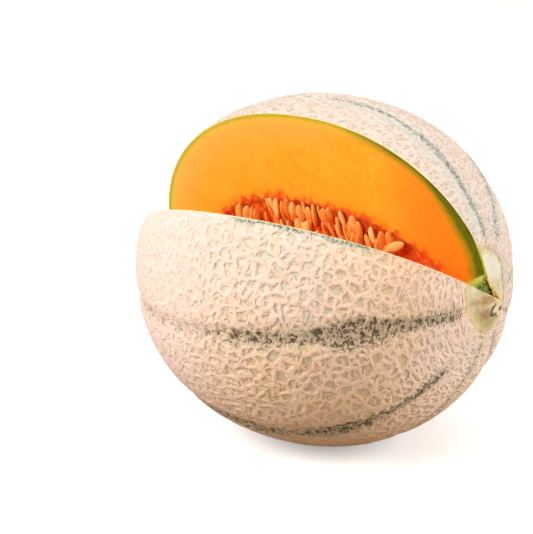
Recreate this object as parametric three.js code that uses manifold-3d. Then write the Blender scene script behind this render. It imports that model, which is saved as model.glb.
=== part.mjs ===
// A netted cantaloupe with one wedge cut out of it, in millimetres, +Z up.
// The melon lies on its side with its stem end toward +X. The wedge is cut out of its top, leaning
// toward -Y, and opens the seed cavity. The origin is on the ground, under the middle of the melon.

import * as THREE from 'three';
import { ConvexHull } from 'three/addons/math/ConvexHull.js';
import { mergeVertices } from 'three/addons/utils/BufferGeometryUtils.js';
import Module from 'manifold-3d';

const wasm = await Module();
wasm.setup();

// The fruit, from its centre to its skin
const halfLength = 87;
const halfWidth = 82;
const halfHeight = 80;
const bluntness = 2.15; // 2 gives an ellipse, more gives fuller ends

// Sutures, the shallow grooves between the ribs. Each has its angle from +Z toward -Y at the
// middle of the fruit, how many degrees it drifts from there to the stem end, a bend in degrees
// that comes only near the stem, and its depth.
const sutures = [
  { angle: -2, drift: 0, bend: 0, depth: 1.3 },
  { angle: 27, drift: 0, bend: 0, depth: 1 },
  { angle: 60, drift: 0, bend: 0, depth: 0.9 },
  { angle: 96.5, drift: -6.3, bend: 0, depth: 1.3 },
  { angle: 137, drift: 0, bend: 18, depth: 1.3 },
  { angle: 172, drift: 0, bend: 0, depth: 1 },
  { angle: 206, drift: 0, bend: 0, depth: 1 },
  { angle: 243, drift: 0, bend: 0, depth: 0.7 },
  { angle: 279, drift: 0, bend: 0, depth: 0.5 },
  { angle: 320, drift: 0, bend: -18, depth: 0.8 },
];
const deepestSuture = Math.max(...sutures.map((suture) => suture.depth));
const sutureHalfWidth = 4.5;

// Corky net
const netCells = 420; // free cells, besides those along the sutures and round the poles
const cellsAlongSuture = 16;
const sutureReach = 0.93; // how far toward the poles the sutures' own cells go, of 1
const freeReach = 0.97;
const sutureStagger = 0.25; // of a cell, between one suture and the next
const ridgeHeight = 1.2;
const ridgeShare = 0.3; // how much of a cell, from its edge inward, its ridge slopes over
const sutureNetShare = 0.35; // what is left of the net's height in a suture
const shortestRidge = 1.8;
const relaxingRounds = 4;

// Stem scar at +X, a corky ring on a low neck, and the blossom scar at -X
const stemScarDrop = 2.5; // the scar's centre, below the long axis
const stemScarCells = 8;
const stemScarSpacing = 9.5; // from the scar's centre to the cells round it
const stemNeckHeight = 3;
const stemNeckRadius = 8;
const stemRingHeight = 1.1;
const stemSmoothRadius = 15;
const blossomScarCells = 8;
const blossomScarSpacing = 9;
const blossomDimple = 1.4;
const blossomRingHeight = 0.5;
const netFadeWidth = 8;
const sutureFreeRadius = 6; // round each pole, where the sutures fade out
const scarRingReach = 0.65; // of a scar's spacing, out past its ring

// Resting spot, a flat on the underside
const restingDepth = 1.6;
const restingSmoothRadius = 16;

// The cut: two flat faces that meet in a line close to the long axis
const rearFaceAngle = 18.2; // from +Z toward -Y
const frontFaceAngle = 59.4;
const cutLineShift = new THREE.Vector3(0, 1.5, -0.7);
const cutLineSlope = new THREE.Vector3(1, 0.014, 0.016);
const cutReach = 140;
const groundSize = 400;

// Seed cavity, a spindle round the cut line, longer toward the stem
const cavityRadius = 36.5;
const cavityMiddle = -12;
const cavityToStem = 76;
const cavityToBlossom = 50;
const cavityLobes = 3;
const cavityLobeHeight = 0.05; // as a share of the radius
const spindleRings = 14; // rings of facets along the cavity and along the tissue in it

// Seed core: stringy tissue that carries the seeds
const coreShare = 0.95; // the tissue's radius, as a share of the cavity's
const coreEndGap = 3;
const coreRecess = 2.4; // from the cut faces in to the tissue
const coreRidges = 12;
const coreRidgeHeight = 0.025; // as a share of the radius
const seedRecess = 1.6; // from the cut faces in to the middle of the seeds
const seedlessRadius = 15; // a cavity narrower than this has no seeds
const seedLength = 11;
const seedWidth = 4.8;
const seedThickness = 2;
const seedPitch = 5.4; // along the cavity
const seedRowDepths = [2.5, 10.5]; // from the cavity's wall in to each row's tips
const seedRootLean = 0.12; // radians that a seed leans, so that its root sinks into the tissue
const seedTipScatter = 2;
const seedSideLean = 0.25; // the most, in radians, that a seed leans along its row
const seedFlatTurn = 0.5 * Math.PI; // about its length, until its flat face looks out of the cut
const seedTurnScatter = 0.3 * Math.PI;
// One seed has come loose and lies across the others near the stem
const looseSeedAlong = 45.9;
const looseSeedRadius = 22.7;
const looseSeedRecess = 1.3; // from the rear cut face in to its middle
const looseSeedLean = 62; // degrees away from standing like the others

const netSeed = 41;
const pulpSeed = 7;

function seededRandom(seed) {
  let state = seed;
  return () => {
    state = (state + 0x6d2b79f5) | 0;
    let mixed = Math.imul(state ^ (state >>> 15), 1 | state);
    mixed = (mixed + Math.imul(mixed ^ (mixed >>> 7), 61 | mixed)) ^ mixed;
    return ((mixed ^ (mixed >>> 14)) >>> 0) / 4294967296;
  };
}

// A direction's angle round the long axis, in degrees from +Z toward -Y
function angleRound(direction) {
  return THREE.MathUtils.radToDeg(Math.atan2(-direction.y, direction.z));
}

function directionAt(along, degrees) {
  const angle = THREE.MathUtils.degToRad(degrees);
  const girth = Math.sqrt(1 - along * along);
  return new THREE.Vector3(along, -girth * Math.sin(angle), girth * Math.cos(angle));
}

// The smooth, rounded body that the ribs and the net rise from
function bodyPoint(direction) {
  const girth = Math.hypot(direction.y, direction.z) || 1;
  const fullness = Math.sqrt(Math.max(0, 1 - Math.abs(direction.x) ** bluntness));
  return new THREE.Vector3(
    direction.x * halfLength,
    (direction.y / girth) * fullness * halfWidth,
    (direction.z / girth) * fullness * halfHeight,
  );
}

function outwardAt(point) {
  return new THREE.Vector3(
    point.x / halfLength ** 2,
    point.y / halfWidth ** 2,
    point.z / halfHeight ** 2,
  ).normalize();
}

// The angle of a suture at a station along the fruit, -1 at the blossom end and 1 at the stem
function sutureAngleAt({ angle, drift, bend }, along) {
  return angle + drift * along + bend * Math.max(0, along) ** 4;
}

// How deep the sutures' grooves are at a point on the skin
function grooveDepth(direction) {
  const turn = angleRound(direction);
  const girth = Math.hypot(direction.y, direction.z) * halfHeight;
  return Math.max(...sutures.map((suture) => {
    const off = turn - sutureAngleAt(suture, direction.x);
    const apart = THREE.MathUtils.euclideanModulo(off + 180, 360) - 180;
    const fromSuture = THREE.MathUtils.degToRad(apart) * girth;
    return suture.depth * Math.exp(-((fromSuture / sutureHalfWidth) ** 2));
  }));
}

const stemScar = new THREE.Vector3(halfLength, 0, -stemScarDrop);
const blossomScar = new THREE.Vector3(-halfLength, 0, 0);
const restingSpot = new THREE.Vector3(0, 0, -halfHeight);

// 0 inside a bare zone of the skin, rising to 1 where the net is whole
function awayFrom(point, spot, bareRadius) {
  const distance = point.distanceTo(spot);
  return THREE.MathUtils.smoothstep(distance, bareRadius, bareRadius + netFadeWidth);
}

function suturesAndNeck(direction, point) {
  const fromStem = point.distanceTo(stemScar);
  const fromBlossom = point.distanceTo(blossomScar);
  const poleFade =
    awayFrom(point, stemScar, sutureFreeRadius)
    * awayFrom(point, blossomScar, sutureFreeRadius);
  return (
    -grooveDepth(direction) * poleFade
    + stemNeckHeight * Math.exp(-((fromStem / stemNeckRadius) ** 2))
    - blossomDimple * Math.exp(-((fromBlossom / blossomScarSpacing) ** 2))
  );
}

function netHeight(direction, point) {
  const inSuture = grooveDepth(direction) / deepestSuture;
  const overSuture = THREE.MathUtils.lerp(1, sutureNetShare, inSuture);
  const bare =
    awayFrom(point, stemScar, stemSmoothRadius)
    * awayFrom(point, blossomScar, blossomScarSpacing)
    * awayFrom(point, restingSpot, restingSmoothRadius);
  const onStemRing = point.distanceTo(stemScar) < stemScarSpacing * scarRingReach;
  const onBlossomRing = point.distanceTo(blossomScar) < blossomScarSpacing * scarRingReach;
  return (
    ridgeHeight * overSuture * bare
    + (onStemRing ? stemRingHeight : 0)
    + (onBlossomRing ? blossomRingHeight : 0)
  );
}

// A point of the finished skin. raised runs from 0 on a cell's floor to 1 on a ridge's crest.
function skinPoint(direction, raised) {
  const point = bodyPoint(direction);
  const height = suturesAndNeck(direction, point) + raised * netHeight(direction, point);
  return point.addScaledVector(outwardAt(point), height);
}

function scarCells(centre, count, spacing) {
  const cells = [centre.clone().normalize()];
  for (let i = 0; i < count; i++) {
    const angle = (2 * Math.PI * i) / count;
    const round = new THREE.Vector3(0, Math.cos(angle) * spacing, Math.sin(angle) * spacing);
    cells.push(centre.clone().add(round).normalize());
  }
  return cells;
}

function sutureCells() {
  const cells = [];
  sutures.forEach((suture, row) => {
    for (let i = 0; i < cellsAlongSuture; i++) {
      const shift = row % 2 ? sutureStagger : -sutureStagger;
      const step = (i + 0.5 + shift) / cellsAlongSuture;
      const along = sutureReach * Math.cos(Math.PI * step);
      cells.push(directionAt(along, sutureAngleAt(suture, along)));
    }
  });
  return cells;
}

function freeCells(random) {
  const cells = [];
  for (let i = 0; i < netCells; i++) {
    const along = THREE.MathUtils.lerp(-freeReach, freeReach, (i + random()) / netCells);
    cells.push(directionAt(along, 360 * random()));
  }
  return cells;
}

// Splits the sphere of directions into one cell for each site. Each cell lists its corners in
// order round its site, seen from outside.
function cellsRound(sites) {
  const numberOf = new Map(sites.map((site, i) => [site, i]));
  const cells = sites.map(() => []);
  const corners = new ConvexHull().setFromPoints(sites).faces.map((face, cornerNumber) => {
    let edge = face.edge;
    do {
      cells[numberOf.get(edge.head().point)].push(cornerNumber);
      edge = edge.next;
    } while (edge !== face.edge);
    return face.normal.clone().normalize();
  });
  cells.forEach((cell, i) => {
    const site = sites[i];
    const across = new THREE.Vector3(0, 0, 1).cross(site).normalize();
    const up = site.clone().cross(across);
    const turn = new Map(cell.map((k) => [k, Math.atan2(corners[k].dot(up), corners[k].dot(across))]));
    cell.sort((a, b) => turn.get(a) - turn.get(b));
  });
  return { cells, corners };
}

// Evens out the free cells, which come first, and leaves the others where they are
function relax(sites, freeCount) {
  for (let round = 0; round < relaxingRounds; round++) {
    const { cells, corners } = cellsRound(sites);
    for (let i = 0; i < freeCount; i++) {
      const middle = cells[i].reduce((sum, k) => sum.add(corners[k]), new THREE.Vector3());
      sites[i].copy(middle.normalize());
    }
  }
}

// Joins corners that lie closer together than the shortest ridge
function joinCloseCorners({ cells, corners }) {
  const joined = corners.map((_, k) => k);
  const rootOf = (k) => (joined[k] === k ? k : rootOf(joined[k]));
  for (const cell of cells) {
    cell.forEach((k, j) => {
      const next = cell[(j + 1) % cell.length];
      const apart = bodyPoint(corners[k]).distanceTo(bodyPoint(corners[next]));
      if (apart < shortestRidge) joined[rootOf(next)] = rootOf(k);
    });
  }
  return {
    corners,
    cells: cells.map((cell) => [...new Set(cell.map(rootOf))]),
  };
}

// The whole fruit: each cell is a sunken floor, and slopes up to the ridges that it shares
function fruitGeometry() {
  const random = seededRandom(netSeed);
  const sites = [
    ...freeCells(random),
    ...sutureCells(),
    ...scarCells(stemScar, stemScarCells, stemScarSpacing),
    ...scarCells(blossomScar, blossomScarCells, blossomScarSpacing),
  ];
  relax(sites, netCells);
  const { cells, corners } = joinCloseCorners(cellsRound(sites));

  const positions = corners.flatMap((corner) => skinPoint(corner, 1).toArray());
  const indices = [];
  const addVertex = (direction) => {
    positions.push(...skinPoint(direction, 0).toArray());
    return positions.length / 3 - 1;
  };
  cells.forEach((cell, i) => {
    const centre = addVertex(sites[i]);
    const floor = cell.map((k) => addVertex(
      corners[k].clone().lerp(sites[i], ridgeShare).normalize(),
    ));
    cell.forEach((corner, j) => {
      const next = (j + 1) % cell.length;
      indices.push(centre, floor[j], floor[next]);
      indices.push(floor[j], corner, cell[next]);
      indices.push(floor[j], cell[next], floor[next]);
    });
  });
  return new THREE.BufferGeometry()
    .setAttribute('position', new THREE.Float32BufferAttribute(positions, 3))
    .setIndex(indices);
}

function solidOf(geometry) {
  const bare = geometry.clone();
  bare.deleteAttribute('normal');
  bare.deleteAttribute('uv');
  const merged = mergeVertices(bare, 1e-4);
  return new wasm.Manifold(new wasm.Mesh({
    numProp: 3,
    vertProperties: new Float32Array(merged.attributes.position.array),
    triVerts: new Uint32Array(merged.index.array),
  }));
}

function geometryOf(solid) {
  const mesh = solid.getMesh();
  return new THREE.BufferGeometry()
    .setAttribute('position', new THREE.Float32BufferAttribute(mesh.vertProperties, 3))
    .setIndex([...mesh.triVerts]);
}

// The frame of the cut line: its own X runs toward +Y, its Y up and its Z toward the stem
const cutFrame = (() => {
  const along = cutLineSlope.clone().normalize();
  const up = new THREE.Vector3(0, 0, 1).addScaledVector(along, -along.z).normalize();
  const side = up.clone().cross(along);
  return new THREE.Matrix4().makeBasis(side, up, along).setPosition(cutLineShift);
})();

// The wedge that the knife took, or a slightly wider one when its faces are moved back
function wedgeGeometry(movedBack) {
  const rear = THREE.MathUtils.degToRad(rearFaceAngle);
  const front = THREE.MathUtils.degToRad(frontFaceAngle);
  const half = (front - rear) / 2;
  const middle = (front + rear) / 2;
  const apexBack = movedBack / Math.sin(half);
  const outline = [
    [-cutReach * Math.sin(rear), cutReach * Math.cos(rear)],
    [0, 0],
    [-cutReach * Math.sin(front), cutReach * Math.cos(front)],
  ].map(([x, y]) => new THREE.Vector2(
    x + apexBack * Math.sin(middle),
    y - apexBack * Math.cos(middle),
  ));
  return new THREE.ExtrudeGeometry(new THREE.Shape(outline), { depth: 2 * cutReach, bevelEnabled: false })
    .translate(0, 0, -cutReach)
    .applyMatrix4(cutFrame);
}

// The cavity's radius at a distance along the cut line, toward the stem
function cavityRadiusAt(along) {
  const fromMiddle = along - cavityMiddle;
  const reach = fromMiddle > 0 ? cavityToStem : cavityToBlossom;
  return cavityRadius * Math.sqrt(Math.max(0, 1 - (fromMiddle / reach) ** 2));
}

// How far a lobed section reaches at an angle round it, as a share of its longest reach
function lobed(turn, lobes, height) {
  return 1 - height + height * Math.cos(lobes * turn);
}

// A spindle round the cut line that fills a share of the cavity's radius, with ridges along it
function spindleGeometry({ share, endGap, ridges, ridgeHeight }) {
  const start = cavityMiddle - cavityToBlossom + endGap;
  const end = cavityMiddle + cavityToStem - endGap;
  const profile = [];
  for (let i = 0; i <= spindleRings; i++) {
    const step = (1 - Math.cos((Math.PI * i) / spindleRings)) / 2;
    const along = THREE.MathUtils.lerp(start, end, step);
    const radius = i % spindleRings ? share * cavityRadiusAt(along) : 0;
    profile.push(new THREE.Vector2(radius, along));
  }
  const geometry = new THREE.LatheGeometry(profile, 2 * coreRidges).rotateX(Math.PI / 2);
  const position = geometry.attributes.position;
  for (let i = 0; i < position.count; i++) {
    const turn = Math.atan2(position.getY(i), position.getX(i));
    const swell = lobed(turn, cavityLobes, cavityLobeHeight) * lobed(turn, ridges, ridgeHeight);
    position.setXY(i, position.getX(i) * swell, position.getY(i) * swell);
  }
  return geometry.applyMatrix4(cutFrame);
}

function cavityGeometry() {
  return spindleGeometry({ share: 1, endGap: 0, ridges: 0, ridgeHeight: 0 });
}

function tissueGeometry() {
  return spindleGeometry({
    share: coreShare,
    endGap: coreEndGap,
    ridges: coreRidges,
    ridgeHeight: coreRidgeHeight,
  });
}

function fruitBody() {
  const ground = new THREE.BoxGeometry(groundSize, groundSize, groundSize)
    .translate(0, 0, restingDepth - halfHeight - groundSize / 2);
  return solidOf(fruitGeometry())
    .subtract(solidOf(ground))
    .subtract(solidOf(wedgeGeometry(0)))
    .subtract(solidOf(cavityGeometry()));
}

// One flat, pointed seed with its tip at the origin, its length down -Y and its flat faces along X
function seedGeometry() {
  return new THREE.SphereGeometry(0.5, 6, 3)
    .scale(seedWidth, seedLength, seedThickness)
    .translate(0, -seedLength / 2, 0);
}

// Stands a seed, its tip at a radius from the cut line, along a face at an angle round that line
function placeSeed(seed, tipRadius, faceAngle, proud, along) {
  return seed
    .translate(proud, tipRadius, 0)
    .rotateZ(THREE.MathUtils.degToRad(faceAngle))
    .translate(0, 0, along)
    .applyMatrix4(cutFrame);
}

// A row of seeds along one cut face of the core, with their tips toward the cavity's wall
function seedRow(faceAngle, inward, tipDepth, random) {
  const seeds = [];
  const start = cavityMiddle - cavityToBlossom;
  const end = cavityMiddle + cavityToStem;
  for (let along = start; along < end; along += seedPitch) {
    const place = along + seedPitch * (random() - 0.5);
    const wallRadius = cavityRadiusAt(place) * (1 - 2 * cavityLobeHeight);
    const tipRadius = wallRadius - tipDepth - seedTipScatter * random();
    if (cavityRadiusAt(place) < seedlessRadius) continue;
    const seed = seedGeometry()
      .rotateY(seedFlatTurn + seedTurnScatter * (2 * random() - 1))
      .rotateX(seedSideLean * (2 * random() - 1))
      .rotateZ(inward * seedRootLean);
    seeds.push(placeSeed(seed, tipRadius, faceAngle, inward * seedRecess, place));
  }
  return seeds;
}

function seedCore() {
  const random = seededRandom(pulpSeed);
  let core = solidOf(tissueGeometry()).subtract(solidOf(wedgeGeometry(coreRecess)));
  const looseSeed = seedGeometry()
    .rotateY(seedFlatTurn)
    .rotateX(THREE.MathUtils.degToRad(looseSeedLean));
  const seeds = [
    ...seedRowDepths.flatMap((depth) => [
      ...seedRow(rearFaceAngle, 1, depth, random),
      ...seedRow(frontFaceAngle, -1, depth, random),
    ]),
    placeSeed(looseSeed, looseSeedRadius, rearFaceAngle, looseSeedRecess, looseSeedAlong),
  ];
  for (const seed of seeds) core = core.add(solidOf(seed));
  return core;
}

function meshOf(name, solid, color, roughness) {
  const material = new THREE.MeshStandardMaterial({ color, roughness, metalness: 0, flatShading: true });
  const mesh = new THREE.Mesh(geometryOf(solid), material);
  mesh.name = name;
  return mesh;
}

const melon = new THREE.Group();
melon.add(meshOf('fruit_body', fruitBody(), 0xd9c9a3, 0.75));
melon.add(meshOf('seed_core', seedCore(), 0xe8662a, 0.45));

const extent = new THREE.Box3().setFromObject(melon);
const middle = extent.getCenter(new THREE.Vector3());
melon.position.set(-middle.x, -middle.y, -extent.min.z);

export default melon;
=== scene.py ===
import math
import time

import bmesh
import bpy
import numpy as np
from mathutils import Matrix, Vector, noise


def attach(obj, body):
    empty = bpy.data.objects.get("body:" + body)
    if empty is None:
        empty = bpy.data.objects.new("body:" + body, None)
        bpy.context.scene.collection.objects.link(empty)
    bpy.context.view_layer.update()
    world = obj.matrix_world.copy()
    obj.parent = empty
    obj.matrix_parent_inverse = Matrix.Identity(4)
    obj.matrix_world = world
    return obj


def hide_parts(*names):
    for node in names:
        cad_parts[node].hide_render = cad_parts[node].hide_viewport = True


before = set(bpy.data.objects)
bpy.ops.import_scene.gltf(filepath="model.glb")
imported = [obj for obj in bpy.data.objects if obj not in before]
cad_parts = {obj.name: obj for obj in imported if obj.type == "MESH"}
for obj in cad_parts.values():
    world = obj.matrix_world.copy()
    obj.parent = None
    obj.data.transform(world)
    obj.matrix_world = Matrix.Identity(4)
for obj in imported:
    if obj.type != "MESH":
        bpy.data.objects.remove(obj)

startedAt = time.time()
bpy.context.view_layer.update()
rng = np.random.default_rng(11)  # seeded, so that each run draws alike


def say(stage):
    print(f"{time.time() - startedAt:6.1f} s  {stage}", flush=True)


# the fruit's form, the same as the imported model's, from the fruit's own centre, in metres

melonForm = {
    "centre": (-0.00188, -0.00001, 0.0784),
    "halfLength": 0.087,
    "halfWidth": 0.082,
    "halfHeight": 0.080,
    "bluntness": 2.15,
    "restingDepth": 0.0016,
    "stemScar": (0.087, 0.0, -0.0025),
    "stemNeckHeight": 0.0030,
    "stemNeckRadius": 0.008,
    "blossomDimple": 0.0014,
    "blossomRadius": 0.009,
    "sutureHalfWidth": 0.0045,
    "bareMiddle": (-1.4, 8.3),
    "bareReach": (14.6, 16.4),
}

# the grooves between the ribs: turn in degrees from +Z toward -Y, its drift and bend toward the
# stem, and the depth in metres; then the colour in them, in mm: the half widths of the pale band
# and of its dark core, how dark it is and what share lasts to the blossom end, how far aside it
# is and the band from it, its own bend, its end, and where it swells, how far and by how much
sutures = [
    {"turn": -2.0, "depth": 0.0013, "band": 7.0, "core": 1.7, "dark": 0.62, "left": 0.35,
     "aside": -2.4, "bandShift": 3.2},
    {"turn": 27.0, "depth": 0.0010, "band": 3.0, "core": 1.2, "dark": 0.4, "left": 0.5},
    {"turn": 60.0, "depth": 0.0009, "band": 1.0, "core": 1.0, "dark": 0.0, "left": 0.0},
    {"turn": 96.5, "drift": -6.3, "depth": 0.0013, "band": 5.4, "core": 3.4, "dark": 1.0,
     "left": 0.3, "swell": (56.0, 11.0, 0.6)},
    {"turn": 137.0, "bend": 18.0, "depth": 0.0013, "band": 4.4, "core": 3.3, "dark": 1.25,
     "left": 0.7, "aside": 3.6, "coreBend": -9.0, "ends": 80.0},
    {"turn": 172.0, "depth": 0.0010, "band": 4.0, "core": 1.8, "dark": 0.6, "left": 0.5},
    {"turn": 206.0, "depth": 0.0010, "band": 4.0, "core": 1.8, "dark": 0.6, "left": 0.5},
    {"turn": 243.0, "depth": 0.0007, "band": 4.4, "core": 2.0, "dark": 0.6, "left": 0.4},
    {"turn": 279.0, "depth": 0.0005, "band": 4.0, "core": 1.6, "dark": 0.5, "left": 0.6},
    {"turn": 320.0, "bend": -18.0, "depth": 0.0008, "band": 5.0, "core": 3.2, "dark": 0.47,
     "left": 0.6, "aside": 7.4, "coreBend": 1.0},
]

# the front cut runs down a groove here, so a speckled grey line follows its lip; in mm
lip = {"begins": -6, "ends": 62, "halfWidth": 2.2}

wedgeCut = {
    "rearAngle": 18.2,
    "frontAngle": 59.4,
    "shift": (0.0, 0.0015, -0.0007),
    "slope": (1.0, 0.014, 0.016),
}

seedCavity = {
    "radius": 0.0365,
    "middle": -0.012,
    "toStem": 0.076,
    "toBlossom": 0.050,
    "lobes": 3,
    "lobeHeight": 0.05,
    "torn": 0.0004,
}

centre = np.array(melonForm["centre"])
stemScar = np.array(melonForm["stemScar"])
blossomScar = np.array([-melonForm["halfLength"], 0.0, 0.0])
restingSpot = np.array([0.0, 0.0, -melonForm["halfHeight"]])
halfAxes = np.array([melonForm["halfLength"], melonForm["halfWidth"], melonForm["halfHeight"]])
cavityStart = seedCavity["middle"] - seedCavity["toBlossom"]
cavityEnd = seedCavity["middle"] + seedCavity["toStem"]


def bell(distance, width):
    return np.exp(-((distance / width) ** 2))


def smoothStep(value, low, high):
    t = np.clip((value - low) / (high - low), 0.0, 1.0)
    return t * t * (3 - 2 * t)


def fullness(along):
    return np.sqrt(np.maximum(0.0, 1 - np.abs(along) ** melonForm["bluntness"]))


def bodyPoint(directions):
    girth = np.hypot(directions[:, 1], directions[:, 2])
    girth[girth < 1e-9] = 1.0
    full = fullness(directions[:, 0]) / girth
    return np.stack([
        directions[:, 0] * halfAxes[0],
        directions[:, 1] * full * halfAxes[1],
        directions[:, 2] * full * halfAxes[2],
    ], axis=1)


def outwardAt(points):
    normals = points / halfAxes ** 2
    return normals / np.linalg.norm(normals, axis=1)[:, None]


def restPoint(points):
    # the point of the smooth body that a point near it stands over
    n = melonForm["bluntness"]
    scaled = points / halfAxes
    girth2 = scaled[:, 1] ** 2 + scaled[:, 2] ** 2
    scale = np.ones(len(points))
    for _ in range(6):
        along = np.abs(scaled[:, 0]) * scale
        value = along ** n + girth2 * scale ** 2 - 1
        slope = n * along ** n / scale + 2 * girth2 * scale
        scale = scale - value / slope
    return points * scale[:, None]


def turnOf(points):
    return np.degrees(np.arctan2(-points[:, 1] / halfAxes[1], points[:, 2] / halfAxes[2]))


def girthOf(points):
    return np.hypot(points[:, 1], points[:, 2])


def fromSuture(rest, suture, bendName="bend"):
    # how far each point of the body lies past a suture, round the girth
    share = rest[:, 0] / halfAxes[0]
    bend = suture.get(bendName, suture.get("bend", 0.0))
    angle = suture["turn"] + suture.get("drift", 0.0) * share + bend * np.maximum(0.0, share) ** 4
    return np.radians((turnOf(rest) - angle + 180) % 360 - 180) * girthOf(rest)


def bareZone(rest):
    # 1 at the edge of the smooth skin round the stem, less inside it
    off = (rest - stemScar)[:, 1:] * 1000 - np.array(melonForm["bareMiddle"])
    reach = np.linalg.norm(off / np.array(melonForm["bareReach"]), axis=1)
    return np.where(rest[:, 0] > 0, reach, 9.0)


def reliefOf(points):
    # grooves at the sutures, the low neck at the stem and the dimple at the blossom end
    halfWidth = melonForm["sutureHalfWidth"]
    grooves = [line["depth"] * bell(fromSuture(points, line), halfWidth) for line in sutures]
    fromStem = np.linalg.norm(points - stemScar, axis=1)
    fromBlossom = np.linalg.norm(points - blossomScar, axis=1)
    fade = smoothStep(fromStem, 0.006, 0.014) * smoothStep(fromBlossom, 0.006, 0.014)
    relief = -fade * np.max(grooves, axis=0)
    relief += melonForm["stemNeckHeight"] * bell(fromStem, melonForm["stemNeckRadius"])
    relief -= melonForm["blossomDimple"] * bell(fromBlossom, melonForm["blossomRadius"])
    return relief


# the cut: its line, and the two planes that meet in it

cutShift = np.array(wedgeCut["shift"])
cutAlong = np.array(wedgeCut["slope"]) / np.linalg.norm(wedgeCut["slope"])
cutUp = np.array([0.0, 0.0, 1.0]) - cutAlong * cutAlong[2]
cutUp /= np.linalg.norm(cutUp)
cutSide = np.cross(cutUp, cutAlong)


def acrossAt(degrees):
    # unit vectors that leave the cut line at an angle round it
    angle = np.radians(degrees)
    return -np.sin(angle)[..., None] * cutSide + np.cos(angle)[..., None] * cutUp


def onCut(along, radius, degrees):
    # points given along the cut line, out from it and round it
    along, radius, degrees = np.broadcast_arrays(along, radius, degrees)
    return cutShift + along[..., None] * cutAlong + radius[..., None] * acrossAt(degrees)


def openNormal(name):
    # the normal of a cut face, pointing into the open wedge
    sign = 1 if name == "rear" else -1
    return sign * acrossAt(np.array(wedgeCut[name + "Angle"] + 90.0))


def cavityRadius(along, degrees=None):
    fromMiddle = along - seedCavity["middle"]
    reach = np.where(fromMiddle > 0, seedCavity["toStem"], seedCavity["toBlossom"])
    radius = seedCavity["radius"] * np.sqrt(np.maximum(0.0, 1 - (fromMiddle / reach) ** 2))
    if degrees is None:
        return radius
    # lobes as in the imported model, counted from its side axis
    turn = np.radians(np.asarray(degrees) + 90.0)
    height = seedCavity["lobeHeight"]
    return radius * (1 - height + height * np.cos(seedCavity["lobes"] * turn))


def cavityEdge(along, degrees):
    # the same, with the torn edge that the cut leaves
    along, degrees = np.broadcast_arrays(np.asarray(along, float), np.asarray(degrees, float))
    radius = cavityRadius(along, degrees)
    rear = wedgeCut["rearAngle"]
    fromCut = np.minimum(np.abs(degrees - rear), np.abs(degrees - rear - 360))
    fromCut = np.minimum(fromCut, np.abs(degrees - wedgeCut["frontAngle"]))
    wave = np.sin(along * 790 + degrees * 0.02)
    wave = wave + 0.8 * np.sin(along * 1530 + 1.7) + 0.6 * np.sin(along * 2870)
    wave = wave * seedCavity["torn"] * (1 - smoothStep(fromCut, 0.0, 10.0))
    return radius + wave * smoothStep(radius, 0.004, 0.014)


# small helpers for meshes and nodes

def roughness3(points, size, seed=0.0, detail=3):
    # smooth random heights from -1 to 1 that change over the given size
    offset = Vector((seed * 13.7, seed * 7.1, seed * 3.3))
    return np.array([noise.fractal(Vector(p) / size + offset, 0.9, 2.0, detail) for p in points])


def addObject(name, data):
    made = bpy.data.objects.new(name, data)
    bpy.context.scene.collection.objects.link(made)
    return made


def addPiece(name, points, faces, material):
    mesh = bpy.data.meshes.new(name)
    faces = faces if isinstance(faces, list) else faces.tolist()
    mesh.from_pydata(np.asarray(points).tolist(), [], faces)
    mesh.update()
    mesh.shade_smooth()
    mesh.materials.append(material)
    piece = addObject(name, mesh)
    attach(piece, "root")
    return piece


def setField(mesh, name, values):
    kind = "FLOAT_VECTOR" if np.ndim(values) == 2 else "FLOAT"
    if name in mesh.attributes:
        mesh.attributes.remove(mesh.attributes[name])
    field = mesh.attributes.new(name, kind, "POINT")
    part = "vector" if kind == "FLOAT_VECTOR" else "value"
    field.data.foreach_set(part, np.asarray(values, "f").ravel())


def pointsOf(mesh):
    points = np.empty(len(mesh.vertices) * 3, "f")
    mesh.vertices.foreach_get("co", points)
    return points.reshape(-1, 3).astype(float)


def normalsOf(mesh, places):
    # how the mesh would face at each point if its points stood in these places
    corners = np.empty(len(mesh.loops), "i")
    mesh.loops.foreach_get("vertex_index", corners)
    starts = np.empty(len(mesh.polygons), "i")
    mesh.polygons.foreach_get("loop_start", starts)
    a, b, c = corners[starts], corners[starts + 1], corners[starts + 2]
    facing = np.cross(places[b] - places[a], places[c] - places[a])
    total = np.zeros_like(places)
    for corner in (a, b, c):
        np.add.at(total, corner, facing)
    return total / (np.linalg.norm(total, axis=1)[:, None] + 1e-12)


def gridFaces(rows, columns, close=False):
    # quads of a grid of rows x columns points, joined round if closed
    r = np.arange(rows - 1)[:, None]
    c = np.arange(columns if close else columns - 1)[None, :]
    d = (c + 1) % columns
    corners = (r * columns + c, r * columns + d, (r + 1) * columns + d, (r + 1) * columns + c)
    return np.stack([corner.ravel() for corner in corners], axis=1)


def bakeModifiers(piece):
    # swaps the mesh for the one its modifiers make
    old = piece.data
    piece.update_tag()
    graph = bpy.context.evaluated_depsgraph_get()
    made = bpy.data.meshes.new_from_object(piece.evaluated_get(graph), depsgraph=graph)
    piece.modifiers.clear()
    piece.data = made
    bpy.data.meshes.remove(old)
    return piece


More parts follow.
